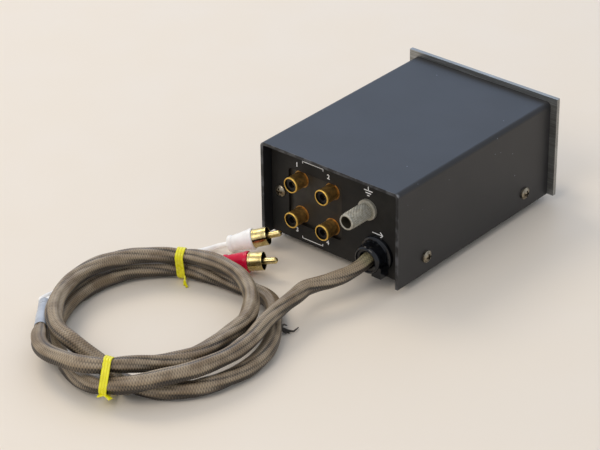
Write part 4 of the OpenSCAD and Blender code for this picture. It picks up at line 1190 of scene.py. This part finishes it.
    def sleeve_frame(self) -> tuple[Vector, Vector, Vector]:
        """The place of the sleeve.

        Returns:
            Where it starts, where it points, and its side.
        """
        heading = self.lay.heading(self.lay.last)
        start = self.lay.point(self.lay.last) + heading * (self.lay.cord_d + self.sleeve_gap)
        return start, heading, heading.cross(UP).normalized()

    def build_sleeve(self, shop: Workshop) -> bpy.types.Object:
        """The shrunk sleeve, waisted between the cord's end and the two tails.

        Args:
            shop: sets the piece into the scene.

        Returns:
            The sleeve.
        """
        start, heading, _ = self.sleeve_frame()
        first, last = self.sleeve_r
        long, wall = self.sleeve_l, self.sleeve_wall
        profile = [(first, 0.0), (first, 1.0), (first - 0.1, 4.0), (first - 0.05, 10.0), (last, 15.0),
                   (last - 0.1, long - 0.3), (last - 0.3, long), (last - wall, long - 0.2),
                   (last - wall, 3.0), (first - wall, 0.2)]
        return shop.place("cord_split_sleeve_dressed", aim(lathe(profile, steps=40), start, heading),
                          "shrink_grey", Body.CASE, "shrink_grey", ("cord_split_sleeve",), crease=60.0)

    def build_tail(self, shop: Workshop, plug: Plug) -> tuple[bpy.types.Object, list[Vector]]:
        """One white lead, from the sleeve's end to its plug.

        Args:
            shop: sets the piece into the scene.
            plug: the plug at the lead's end.

        Returns:
            The lead and its centre line.
        """
        start, heading, across = self.sleeve_frame()
        end, name = Vector(plug.at), f"{plug.side.value}_tail"
        out = start + heading * self.sleeve_l + across * (self.tail_apart / 2) * plug.tail_way
        route = [out, out + heading * self.tail_d] + [Vector(p) for p in plug.tail]
        path = spline(route + [end - plug.heading() * 2 * self.tail_d, end], self.tail_steps)
        shape = sweep(path, lambda _way, _angle: (self.tail_d / 2, 1.0), self.tail_sides)
        return shop.place(name, shape, "white_plastic", Body.CASE, "white_plastic", (f"{name}_cord",),
                          crease=60.0), path

    def build_fray(self, shop: Workshop) -> bpy.types.Object:
        """A few loose threads beside the loops, where the braid is frayed.

        Args:
            shop: sets the piece into the scene.

        Returns:
            The tuft.
        """
        shape = bmesh.new()
        for route in self.frays:
            path = spline([Vector(p) for p in route], self.fray_steps)
            total = length_of(path) / MM
            wisp = sweep(path, lambda way, _angle, total=total: (
                self.fray_r - self.fray_thins * min(1.0, way / total), self.fray_light), self.fray_sides)
            mesh = bpy.data.meshes.new("wisp")
            wisp.to_mesh(mesh)
            wisp.free()
            shape.from_mesh(mesh)
            bpy.data.meshes.remove(mesh)
        return shop.place("output_cord_fray", shape, "cord_braid", Body.CASE, "cord_braid", crease=80.0)

    def build(self, shop: Workshop) -> None:
        """Args:
            shop: sets the pieces into the scene.
        """
        main, main_path = self.build_main(shop)
        sleeve = self.build_sleeve(shop)
        for tie in self.ties:
            tie.build_wrap(shop, self.lay)
        for tie in self.ties:
            tie.build_ends(shop)
        [v * MM for v in self.gland]
        length_of(main_path)
        [p * MM for p in main_path]
        self.build_fray(shop)
        for plug in self.plugs:
            tail, path = self.build_tail(shop, plug)
            length_of(path)
            [p * MM for p in path]
            plug.build(shop)


@dataclass
class RearJacks:
    """Four pin jacks on the rear board."""

    centre: Span = (13.3, 28.5)
    pitch: float = 19.4
    back_y: float = 53.95
    board_y: float = 57.35
    front_y: float = 65.85
    radius: float = 4.15
    bore: float = 3.35
    bore_play: float = 0.05

    def build(self, shop: Workshop) -> None:
        """Turn the four shells with their rolled front rims, and dress what they stand on.

        Args:
            shop: sets the pieces into the scene.
        """
        r, bore = self.radius, self.bore
        face, front = self.board_y - self.back_y, self.front_y - self.back_y
        profile = [(bore, 0.0), (r + 1.2, 0.0), (r + 1.2, 1.4), (r + 0.3, 1.4), (r + 0.3, face),
                   (r - 0.12, face), (r - 0.12, front - 1.5), (r, front - 1.25), (r, front - 0.5),
                   (r - 0.08, front - 0.24), (r - 0.24, front - 0.07), (r - 0.45, front),
                   (r - 0.66, front - 0.07), (bore, front - 0.3)]
        for row, level in (("input_1", 1), ("input_2", -1)):
            for side, way in ((Channel.LEFT, 1), (Channel.RIGHT, -1)):
                at = (self.centre[0] + way * self.pitch / 2, self.back_y,
                      self.centre[1] + level * self.pitch / 2)
                name, shell = f"{row}_{side.value}", lathe(profile)
                # Painted shade in the bore.
                mark_bore(shell, bore + self.bore_play)
                shop.place(f"{name}_shell", aim(shell, at, REARWARD), "jack_gold", Body.CASE, "jack_gold",
                           (f"{name}_jack",), crease=30.0)
        for node, key in (("jack_insulators", "black_insulator"), ("jack_contacts", "plug_gold"),
                          ("jack_board", "board_laminate"), ("jack_board_screws", "screw_nickel")):
            shop.dress(node, key)


@dataclass
class EarthTerminal:
    """The earth terminal: a knurled thumb nut over its stud and washer."""

    at: Span = (-19.7, 37.5)
    start_y: float = 60.5
    end_y: float = 75.45
    radius: float = 4.3
    rim_drop: float = 0.3
    furrow_drop: float = 0.4
    stud_bore: float = 2.05
    mouth_r: float = 3.0
    mouth_l: float = 5.0
    mouth_play: float = 0.05
    # The knurl is drawn coarser than a real one, so that it shows.
    knurl_ends: Span = (0.45, 0.95)
    knurl_rows: int = 12
    knurl_count: int = 24
    knurl_grid: int = 6
    knurl_floor: float = 0.15
    knurl_light_gain: float = 1.6

    def build(self, shop: Workshop) -> None:
        """Turn the nut, press the diamond knurl into its side, and dress its stud, washer and lug.

        Args:
            shop: sets the pieces into the scene.
        """
        length = self.end_y - self.start_y
        rim, furrow, mouth = self.radius - self.rim_drop, self.radius - self.furrow_drop, self.mouth_r
        core = lathe([(self.stud_bore, 0.0), (rim, 0.0), (rim, 0.3), (furrow, 0.5), (furrow, length - 1.0),
                      (rim, length - 0.9), (rim, length - 0.3), (rim - 0.2, length), (mouth + 0.15, length),
                      (mouth, length - 0.25), (mouth, length - self.mouth_l),
                      (self.stud_bore, length - self.mouth_l)], steps=72)
        # Painted shade inside the mouth.
        mark_bore(core, mouth + self.mouth_play)
        self.press_knurl(core, self.knurl_ends[0], length - self.knurl_ends[1], furrow)
        at = (self.at[0], self.start_y, self.at[1])
        shop.place("ground_thumb_nut_knurled", aim(core, at, REARWARD), "knurled_nickel", Body.NUT,
                   "terminal_nickel", ("ground_thumb_nut",), crease=28.0)
        for node in ("ground_stud", "ground_clamp_washer", "ground_lug"):
            shop.dress(node, "terminal_nickel")

    def press_knurl(self, shape: bmesh.types.BMesh, low: float, high: float, radius: float) -> None:
        """Wrap a grid round the nut and raise its crossings to diamonds that fade in the end rows.

        Args:
            shape: the nut, which gets the knurl.
            low: where the knurl starts along the nut.
            high: where it ends.
            radius: the radius at the furrows.
        """
        rows, count = self.knurl_rows, self.knurl_count
        grid = bmesh.ops.create_grid(shape, x_segments=count * self.knurl_grid,
                                     y_segments=rows * self.knurl_grid, size=0.5)
        painted_light = shape.verts.layers.float[PAINTED_LIGHT]
        rise = self.radius - radius
        for vert in grid["verts"]:
            u, v = vert.co.x + 0.5, vert.co.y + 0.5
            peak = min(abs(math.sin(math.pi * (count * u + way * rows * v))) for way in (1, -1))
            fade = min(1.0, rows * v, rows * (1 - v))
            # Full painted light on the diamonds' crowns, painted shade in the furrows.
            vert[painted_light] = min(1.0, self.knurl_light_gain * peak)
            reach = radius + rise * fade * (self.knurl_floor + (1 - self.knurl_floor) * peak)
            vert.co = (reach * math.cos(math.tau * u), reach * math.sin(math.tau * u), low + (high - low) * v)
        bmesh.ops.remove_doubles(shape, verts=grid["verts"], dist=MERGE)


@dataclass
class CableGland:
    """The cord's gland: a moulded bush with a rounded shoulder, and its locking wedge."""

    at: Span = (-25.7, 15.6)
    inner_y: float = 55.85
    bore: float = 4.55

    def build(self, shop: Workshop) -> None:
        """Mould the bush and dress the wedge.

        Args:
            shop: sets the pieces into the scene.
        """
        profile = [(self.bore, 0.0), (7.7, 0.0), (7.7, 1.5), (6.5, 1.5), (6.5, 3.0), (9.0, 3.0), (9.25, 3.3),
                   (9.25, 4.2), (9.0, 4.7), (8.4, 5.0), (7.75, 5.2), (7.5, 5.6), (7.5, 9.4), (7.4, 10.5),
                   (7.15, 11.4), (6.8, 12.0), (6.4, 12.35), (6.0, 12.5), (5.8, 12.4), (5.7, 12.1),
                   (5.6, 11.6), (self.bore, 11.4)]
        at = (self.at[0], self.inner_y, self.at[1])
        shop.place("strain_relief_bush", aim(lathe(profile, steps=72), at, REARWARD), "gland_plastic",
                   Body.CASE, "gland_plastic", ("strain_relief_body",), crease=30.0)
        shop.dress("strain_relief_wedge", "gland_plastic")


@dataclass
class SelectorKnob:
    """One selector's knob: turned, with fine flutes and an index line."""

    body: Body
    x: float
    turn: float
    z: float = 29.75
    back_y: float = -60.45
    length: float = 15.0
    radius: float = 11.0
    shaft_bore: float = 3.03
    crown_t: float = 4.0
    hollow_r: float = 8.5
    hollow_d: float = 4.0
    flutes: int = 60
    flute_d: float = 0.32
    line_size: Triple = (0.9, 0.3, 6.4)
    line_edge: float = 0.08
    line_out: float = 7.0
    line_sunk: float = 0.18

    def build(self, shop: Workshop) -> None:
        """Build the knob and its index line, and dress what turns with it.

        Args:
            shop: sets the pieces into the scene.
        """
        prefix = self.body.value
        shop.place(f"{prefix}_knob_turned", aim(self.turn_knob(), (self.x, self.back_y, self.z), FORWARD),
                   "knob_aluminium", self.body, "knob_aluminium", (f"{prefix}_knob",), crease=28.0)
        shop.place(f"{prefix}_index_line", self.cut_line(), "print_black", self.body, "set_screw_steel")
        for part, key in (("set_screw", "set_screw_steel"), ("shaft", "shaft_brass"),
                          ("rotor", "rotor_plastic")):
            shop.dress(f"{prefix}_{part}", key)

    def turn_knob(self) -> bmesh.types.BMesh:
        """Turn the knob with its hollow back, dished front and bore, and cut its flutes.

        Returns:
            The knob, drawn about Z.
        """
        r, long, bore = self.radius, self.length, self.shaft_bore
        profile = [(bore, long - self.crown_t), (bore, self.hollow_d), (self.hollow_r, self.hollow_d),
                   (self.hollow_r, 0.0), (r - 0.5, 0.0), (r - 0.15, 0.35), (r - 0.15, 1.6), (r - 0.6, 1.9),
                   (r - 0.6, 2.3), (r, 2.7), (r, 6.0), (r, 9.5), (r, long - 1.6), (r - 0.25, long - 1.3),
                   (r - 1.1, long - 0.35), (r - 1.6, long - 0.15), (r - 3.0, long - 0.15),
                   (r - 3.2, long - 0.45), (0.0, long - 0.45), (0.0, long - self.crown_t)]
        knob = lathe(profile, self.flutes * 4, closed=False)
        for vert in knob.verts:
            if abs(math.hypot(vert.co.x, vert.co.y) - r) < 1e-3:
                depth = self.flute_d / 2 * (1 + math.cos(self.flutes * math.atan2(vert.co.y, vert.co.x)))
                bmesh.ops.scale(knob, vec=(1 - depth / r, 1 - depth / r, 1), verts=[vert])
        return knob

    def cut_line(self) -> bmesh.types.BMesh:
        """The index line, let into the knob's front at its turn at rest.

        Returns:
            The line, in its place.
        """
        line = bmesh.new()
        bmesh.ops.create_cube(line, size=1.0)
        bmesh.ops.scale(line, vec=self.line_size, verts=line.verts)
        bmesh.ops.bevel(line, geom=line.edges[:], offset=self.line_edge, segments=2, profile=0.5,
                        affect="EDGES", material=-1)
        centre = Matrix.Translation((self.x, self.back_y - self.length + self.line_sunk, self.z))
        tilt = Matrix.Rotation(math.radians(self.turn), 4, "Y")
        out = Matrix.Translation((0, 0, self.line_out))
        bmesh.ops.transform(line, matrix=centre @ tilt @ out, verts=line.verts)
        return line


class Side(Enum):
    """The faces that carry marks, by the direction in which they face."""

    REAR = 1
    FRONT = -1


@dataclass
class Marks:
    """Plain printed marks: numbers, brackets, an earth sign and an arrow."""

    rear_y: float = 58.85
    front_y: float = -59.65
    ink_t: float = 0.03
    bold: float = 0.08
    rear_type: float = 3.4
    front_type: float = 3.2
    jack_numbers: tuple[tuple[str, float, float], ...] = (
        ("1", 24.5, 46.2), ("2", 4.8, 46.2), ("3", 24.8, 10.1), ("4", 5.4, 9.8))
    bracket: tuple[Bar, ...] = (
        (0, 0, 13.0, 0.35, 0), (-6.4, -0.5, 1.3, 0.35, 90), (6.4, -0.5, 1.3, 0.35, 90))
    earth: tuple[Bar, ...] = (
        (0, 1.9, 2.2, 0.5, 90), (0, 0.8, 5.2, 0.5, 0), (0, -0.5, 3.3, 0.5, 0), (0, -1.8, 1.4, 0.5, 0))
    arrow: tuple[Bar, ...] = ((0, 0, 6.4, 0.45, 0), (2.5, 0.75, 2.2, 0.45, -42), (2.5, -0.75, 2.2, 0.45, 42))
    upper_bracket: Span = (14.5, 49.3)
    lower_bracket: Span = (15.0, 6.7)
    earth_at: Span = (-19.7, 46.6)
    arrow_at: Span = (-25.3, 25.9)
    knob_turns: tuple[tuple[float, ...], ...] = ((-15.0, 15.0), (-30.0, 0.0, 30.0))
    number_r: float = 15.6
    tick_r: float = 12.3
    tick_size: Span = (1.8, 0.4)

    def seat(self, side: Side, x: float, z: float) -> Matrix:
        """The place of a mark on a face, so that it reads from outside.

        Args:
            side: the face.
            x: the place across the face.
            z: the place up the face.

        Returns:
            The matrix that moves a mark, drawn flat about the origin, to its place.
        """
        y = self.rear_y if side is Side.REAR else self.front_y
        right = Vector((-side.value, 0, 0))
        axes = Matrix((right, UP, (0, side.value, 0))).transposed().to_4x4()
        return Matrix.Translation((x, y + side.value * self.ink_t / 2, z)) @ axes

    def ink(self, shop: Workshop, name: str, shape: bmesh.types.BMesh, side: Side) -> None:
        """Set a mark into the scene in its face's ink."""
        key, slot = ("print_ink", "black_paint") if side is Side.REAR else ("print_black", "panel_aluminium")
        shop.place(name, shape, key, Body.CASE, slot)

    def number(self, shop: Workshop, name: str, digits: str, side: Side, x: float, z: float,
               size: float) -> None:
        """Print a number, centred at a place.

        Args:
            shop: sets the piece into the scene.
            name: the piece's name.
            digits: the number.
            side: the face.
            x: the place across the face.
            z: the place up the face.
            size: the height of the type, in millimetres.
        """
        curve = bpy.data.curves.new(name, "FONT")
        curve.body, curve.size, curve.extrude = digits, size, self.ink_t / 2
        curve.align_x, curve.align_y, curve.resolution_u, curve.offset = "CENTER", "CENTER", 4, self.bold
        text = bpy.data.objects.new(name, curve)
        bpy.context.scene.collection.objects.link(text)
        flat = bpy.data.meshes.new_from_object(text.evaluated_get(bpy.context.evaluated_depsgraph_get()))
        bpy.data.objects.remove(text)
        shape = bmesh.new()
        shape.from_mesh(flat)
        bpy.data.meshes.remove(flat)
        bmesh.ops.remove_doubles(shape, verts=shape.verts, dist=1e-5)
        bmesh.ops.transform(shape, matrix=self.seat(side, x, z), verts=shape.verts)
        self.ink(shop, name, shape, side)

    def strokes(self, shop: Workshop, name: str, side: Side, x: float, z: float, bars: Sequence[Bar]) -> None:
        """Print a sign of straight bars.

        Args:
            shop: sets the piece into the scene.
            name: the piece's name.
            side: the face.
            x: the sign's place across the face.
            z: the sign's place up the face.
            bars: each bar's middle, length, width and turn in degrees.
        """
        shape = bmesh.new()
        for along, up, length, width, turn in bars:
            bar = bmesh.ops.create_cube(shape, size=1.0)["verts"]
            bmesh.ops.scale(shape, vec=(length, width, self.ink_t), verts=bar)
            move = Matrix.Translation((along, up, 0)) @ Matrix.Rotation(math.radians(turn), 4, "Z")
            bmesh.ops.transform(shape, matrix=self.seat(side, x, z) @ move, verts=bar)
        self.ink(shop, name, shape, side)

    def build_rear(self, shop: Workshop) -> None:
        """Print the jacks' numbers and brackets, the earth sign and the arrow at the cord.

        Args:
            shop: sets the pieces into the scene.
        """
        for digit, x, z in self.jack_numbers:
            self.number(shop, f"rear_mark_{digit}", digit, Side.REAR, x, z, self.rear_type)
        upturned = [(along, -up, *rest) for along, up, *rest in self.bracket]
        for sign, at, bars in (("bracket_upper", self.upper_bracket, self.bracket),
                               ("bracket_lower", self.lower_bracket, upturned),
                               ("earth_sign", self.earth_at, self.earth),
                               ("arrow", self.arrow_at, self.arrow)):
            self.strokes(shop, f"rear_{sign}", Side.REAR, *at, bars)

    def build_front(self, shop: Workshop, knobs: Sequence[SelectorKnob]) -> None:
        """Print a number and a tick at each stop of each knob.

        Args:
            shop: sets the pieces into the scene.
            knobs: the knobs that the marks stand round.
        """
        for knob, turns in zip(knobs, self.knob_turns):
            for number, turn in enumerate(turns, 1):
                name, way = f"{knob.body.value}_mark_{number}", math.radians(turn)
                across, upward = math.sin(way), math.cos(way)
                self.number(shop, name, str(number), Side.FRONT, knob.x + self.number_r * across,
                            knob.z + self.number_r * upward, self.front_type)
                tick = (self.tick_r * across, self.tick_r * upward, *self.tick_size, 90.0 - turn)
                self.strokes(shop, f"{name}_tick", Side.FRONT, knob.x, knob.z, [tick])


@dataclass
class Case:
    """The case, its screws and feet, and all that it holds inside: solids of the frame."""

    finishes: dict[str, tuple[str, ...]] = field(default_factory=lambda: {
        "black_paint": ("top_cover",),
        "chassis_paint": ("base_chassis",),
        "panel_aluminium": ("front_panel",),
        "screw_nickel": ("panel_screws", "cover_screws", "foot_screws", "transformer_screws"),
        "foot_rubber": ("rubber_feet",),
        "selector_metal": ("input_selector_bushing", "load_selector_bushing", "selector_nuts",
                           "selector_terminals"),
        "wafer_laminate": ("input_selector_wafer", "load_selector_wafer"),
        "can_metal": ("left_shield_can", "left_can_lid", "right_shield_can", "right_can_lid"),
        "core_steel": ("left_core", "right_core"),
        "winding_copper": ("left_winding", "right_winding"),
        "wire_insulation": ("signal_wires",),
        "black_insulator": ("plug_insulators",),
    })

    def build(self, shop: Workshop) -> None:
        """Give each solid its finish.

        Args:
            shop: keeps the finishes.
        """
        for key, nodes in self.finishes.items():
            for node in nodes:
                shop.dress(node, key)


@dataclass
class Lamp:
    """A round soft light: its place and width in metres, its power in watts and its tint."""

    name: str
    at: Point
    width: float
    power: float
    tint: str

    def build(self, target: Point) -> None:
        """Hang the light.

        Args:
            target: where it points.
        """
        data = bpy.data.lights.new(self.name, "AREA")
        data.shape, data.size, data.energy = "DISK", self.width, self.power
        data.color = linear(self.tint)[:3]
        light = bpy.data.objects.new(self.name, data)
        turn = (Vector(self.at) - Vector(target)).to_track_quat("Z", "Y")
        light.matrix_world = Matrix.Translation(Vector(self.at)) @ turn.to_matrix().to_4x4()
        bpy.context.scene.collection.objects.link(light)


@dataclass
class Studio:
    """A pale floor, soft light and the camera of the photograph."""

    eye: Point = (-0.6333, 0.81845, 0.5912)
    azimuth: float = 220.83
    elevation: float = 29.93
    roll: float = -0.79
    focal_px: float = 2374.1
    sensor_mm: float = 36.0
    nearest: float = 0.01
    floor: str = "#e6dbcb"
    floor_half: float = 6.0
    room_tint: str = "#eaf0fb"
    room_strength: float = 0.80
    target: Point = (0.0, 0.05, 0.03)
    lamps: tuple[Lamp, ...] = (
        Lamp("window", at=(1.3, -0.2, 1.5), width=0.9, power=10.5, tint="#fff1dc"),
        Lamp("lamp", at=(0.02, 1.3, 1.3), width=0.9, power=7.5, tint="#fff4e6"),
        Lamp("sky", at=(0.9, -1.0, 0.9), width=1.2, power=3.2, tint="#a9cdff"))

    def build_camera(self) -> None:
        """Set the camera where the photograph was taken."""
        a, e, r = (math.radians(v) for v in (self.azimuth, self.elevation, self.roll))
        back = Vector((math.sin(a) * math.cos(e), -math.cos(a) * math.cos(e), math.sin(e)))
        right = Vector((math.cos(a), math.sin(a), 0))
        up = back.cross(right)
        across, upright = right * math.cos(r) + up * math.sin(r), up * math.cos(r) - right * math.sin(r)
        data = bpy.data.cameras.new("camera")
        data.sensor_width = self.sensor_mm
        data.lens = self.focal_px * self.sensor_mm / IMAGE_W
        data.clip_start = self.nearest
        camera = bpy.data.objects.new("camera", data)
        axes = Matrix((across, upright, back)).transposed().to_4x4()
        camera.matrix_world = Matrix.Translation(Vector(self.eye)) @ axes
        bpy.context.scene.collection.objects.link(camera)
        bpy.context.scene.camera = camera

    def build_floor(self) -> None:
        """Lay a plain pale floor whose shine is faintly uneven."""
        shape = bmesh.new()
        bmesh.ops.create_grid(shape, x_segments=1, y_segments=1, size=self.floor_half)
        mesh = bpy.data.meshes.new("floor")
        shape.to_mesh(mesh)
        shape.free()
        finish = Finish("floor, pale board", self.floor, self.floor, 60.0, rough=0.6, relief_mm=0.0,
                        specular=0.3)
        mesh.materials.append(finish.make())
        piece = bpy.data.objects.new("floor", mesh)
        bpy.context.scene.collection.objects.link(piece)

    def build_light(self) -> None:
        """Hang the lights and let the room fill in."""
        world = bpy.data.worlds.new("room")
        bpy.context.scene.world = world
        world.use_nodes = True
        room = world.node_tree.nodes["Background"]
        room.inputs["Color"].default_value = linear(self.room_tint)
        room.inputs["Strength"].default_value = self.room_strength
        for lamp in self.lamps:
            lamp.build(self.target)
        bpy.context.scene.view_settings.view_transform = "Standard"

    def build(self) -> None:
        """Set up the camera, the floor and the light."""
        self.build_camera()
        self.build_floor()
        self.build_light()


def main() -> None:
    """Build the studio, the cords and every dressed piece."""
    logging.basicConfig(level=logging.INFO, format="%(name)s %(message)s")
    Studio().build()
    shop = Workshop()
    OutputCord().build(shop)
    RearJacks().build(shop)
    EarthTerminal().build(shop)
    CableGland().build(shop)
    knobs = [SelectorKnob(Body.INPUT, x=22.0, turn=-15.0), SelectorKnob(Body.LOAD, x=-22.0, turn=0.0)]
    for knob in knobs:
        knob.build(shop)
    marks = Marks()
    marks.build_rear(shop)
    marks.build_front(shop, knobs)
    Case().build(shop)
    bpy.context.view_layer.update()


if __name__ == "__main__":
    main()
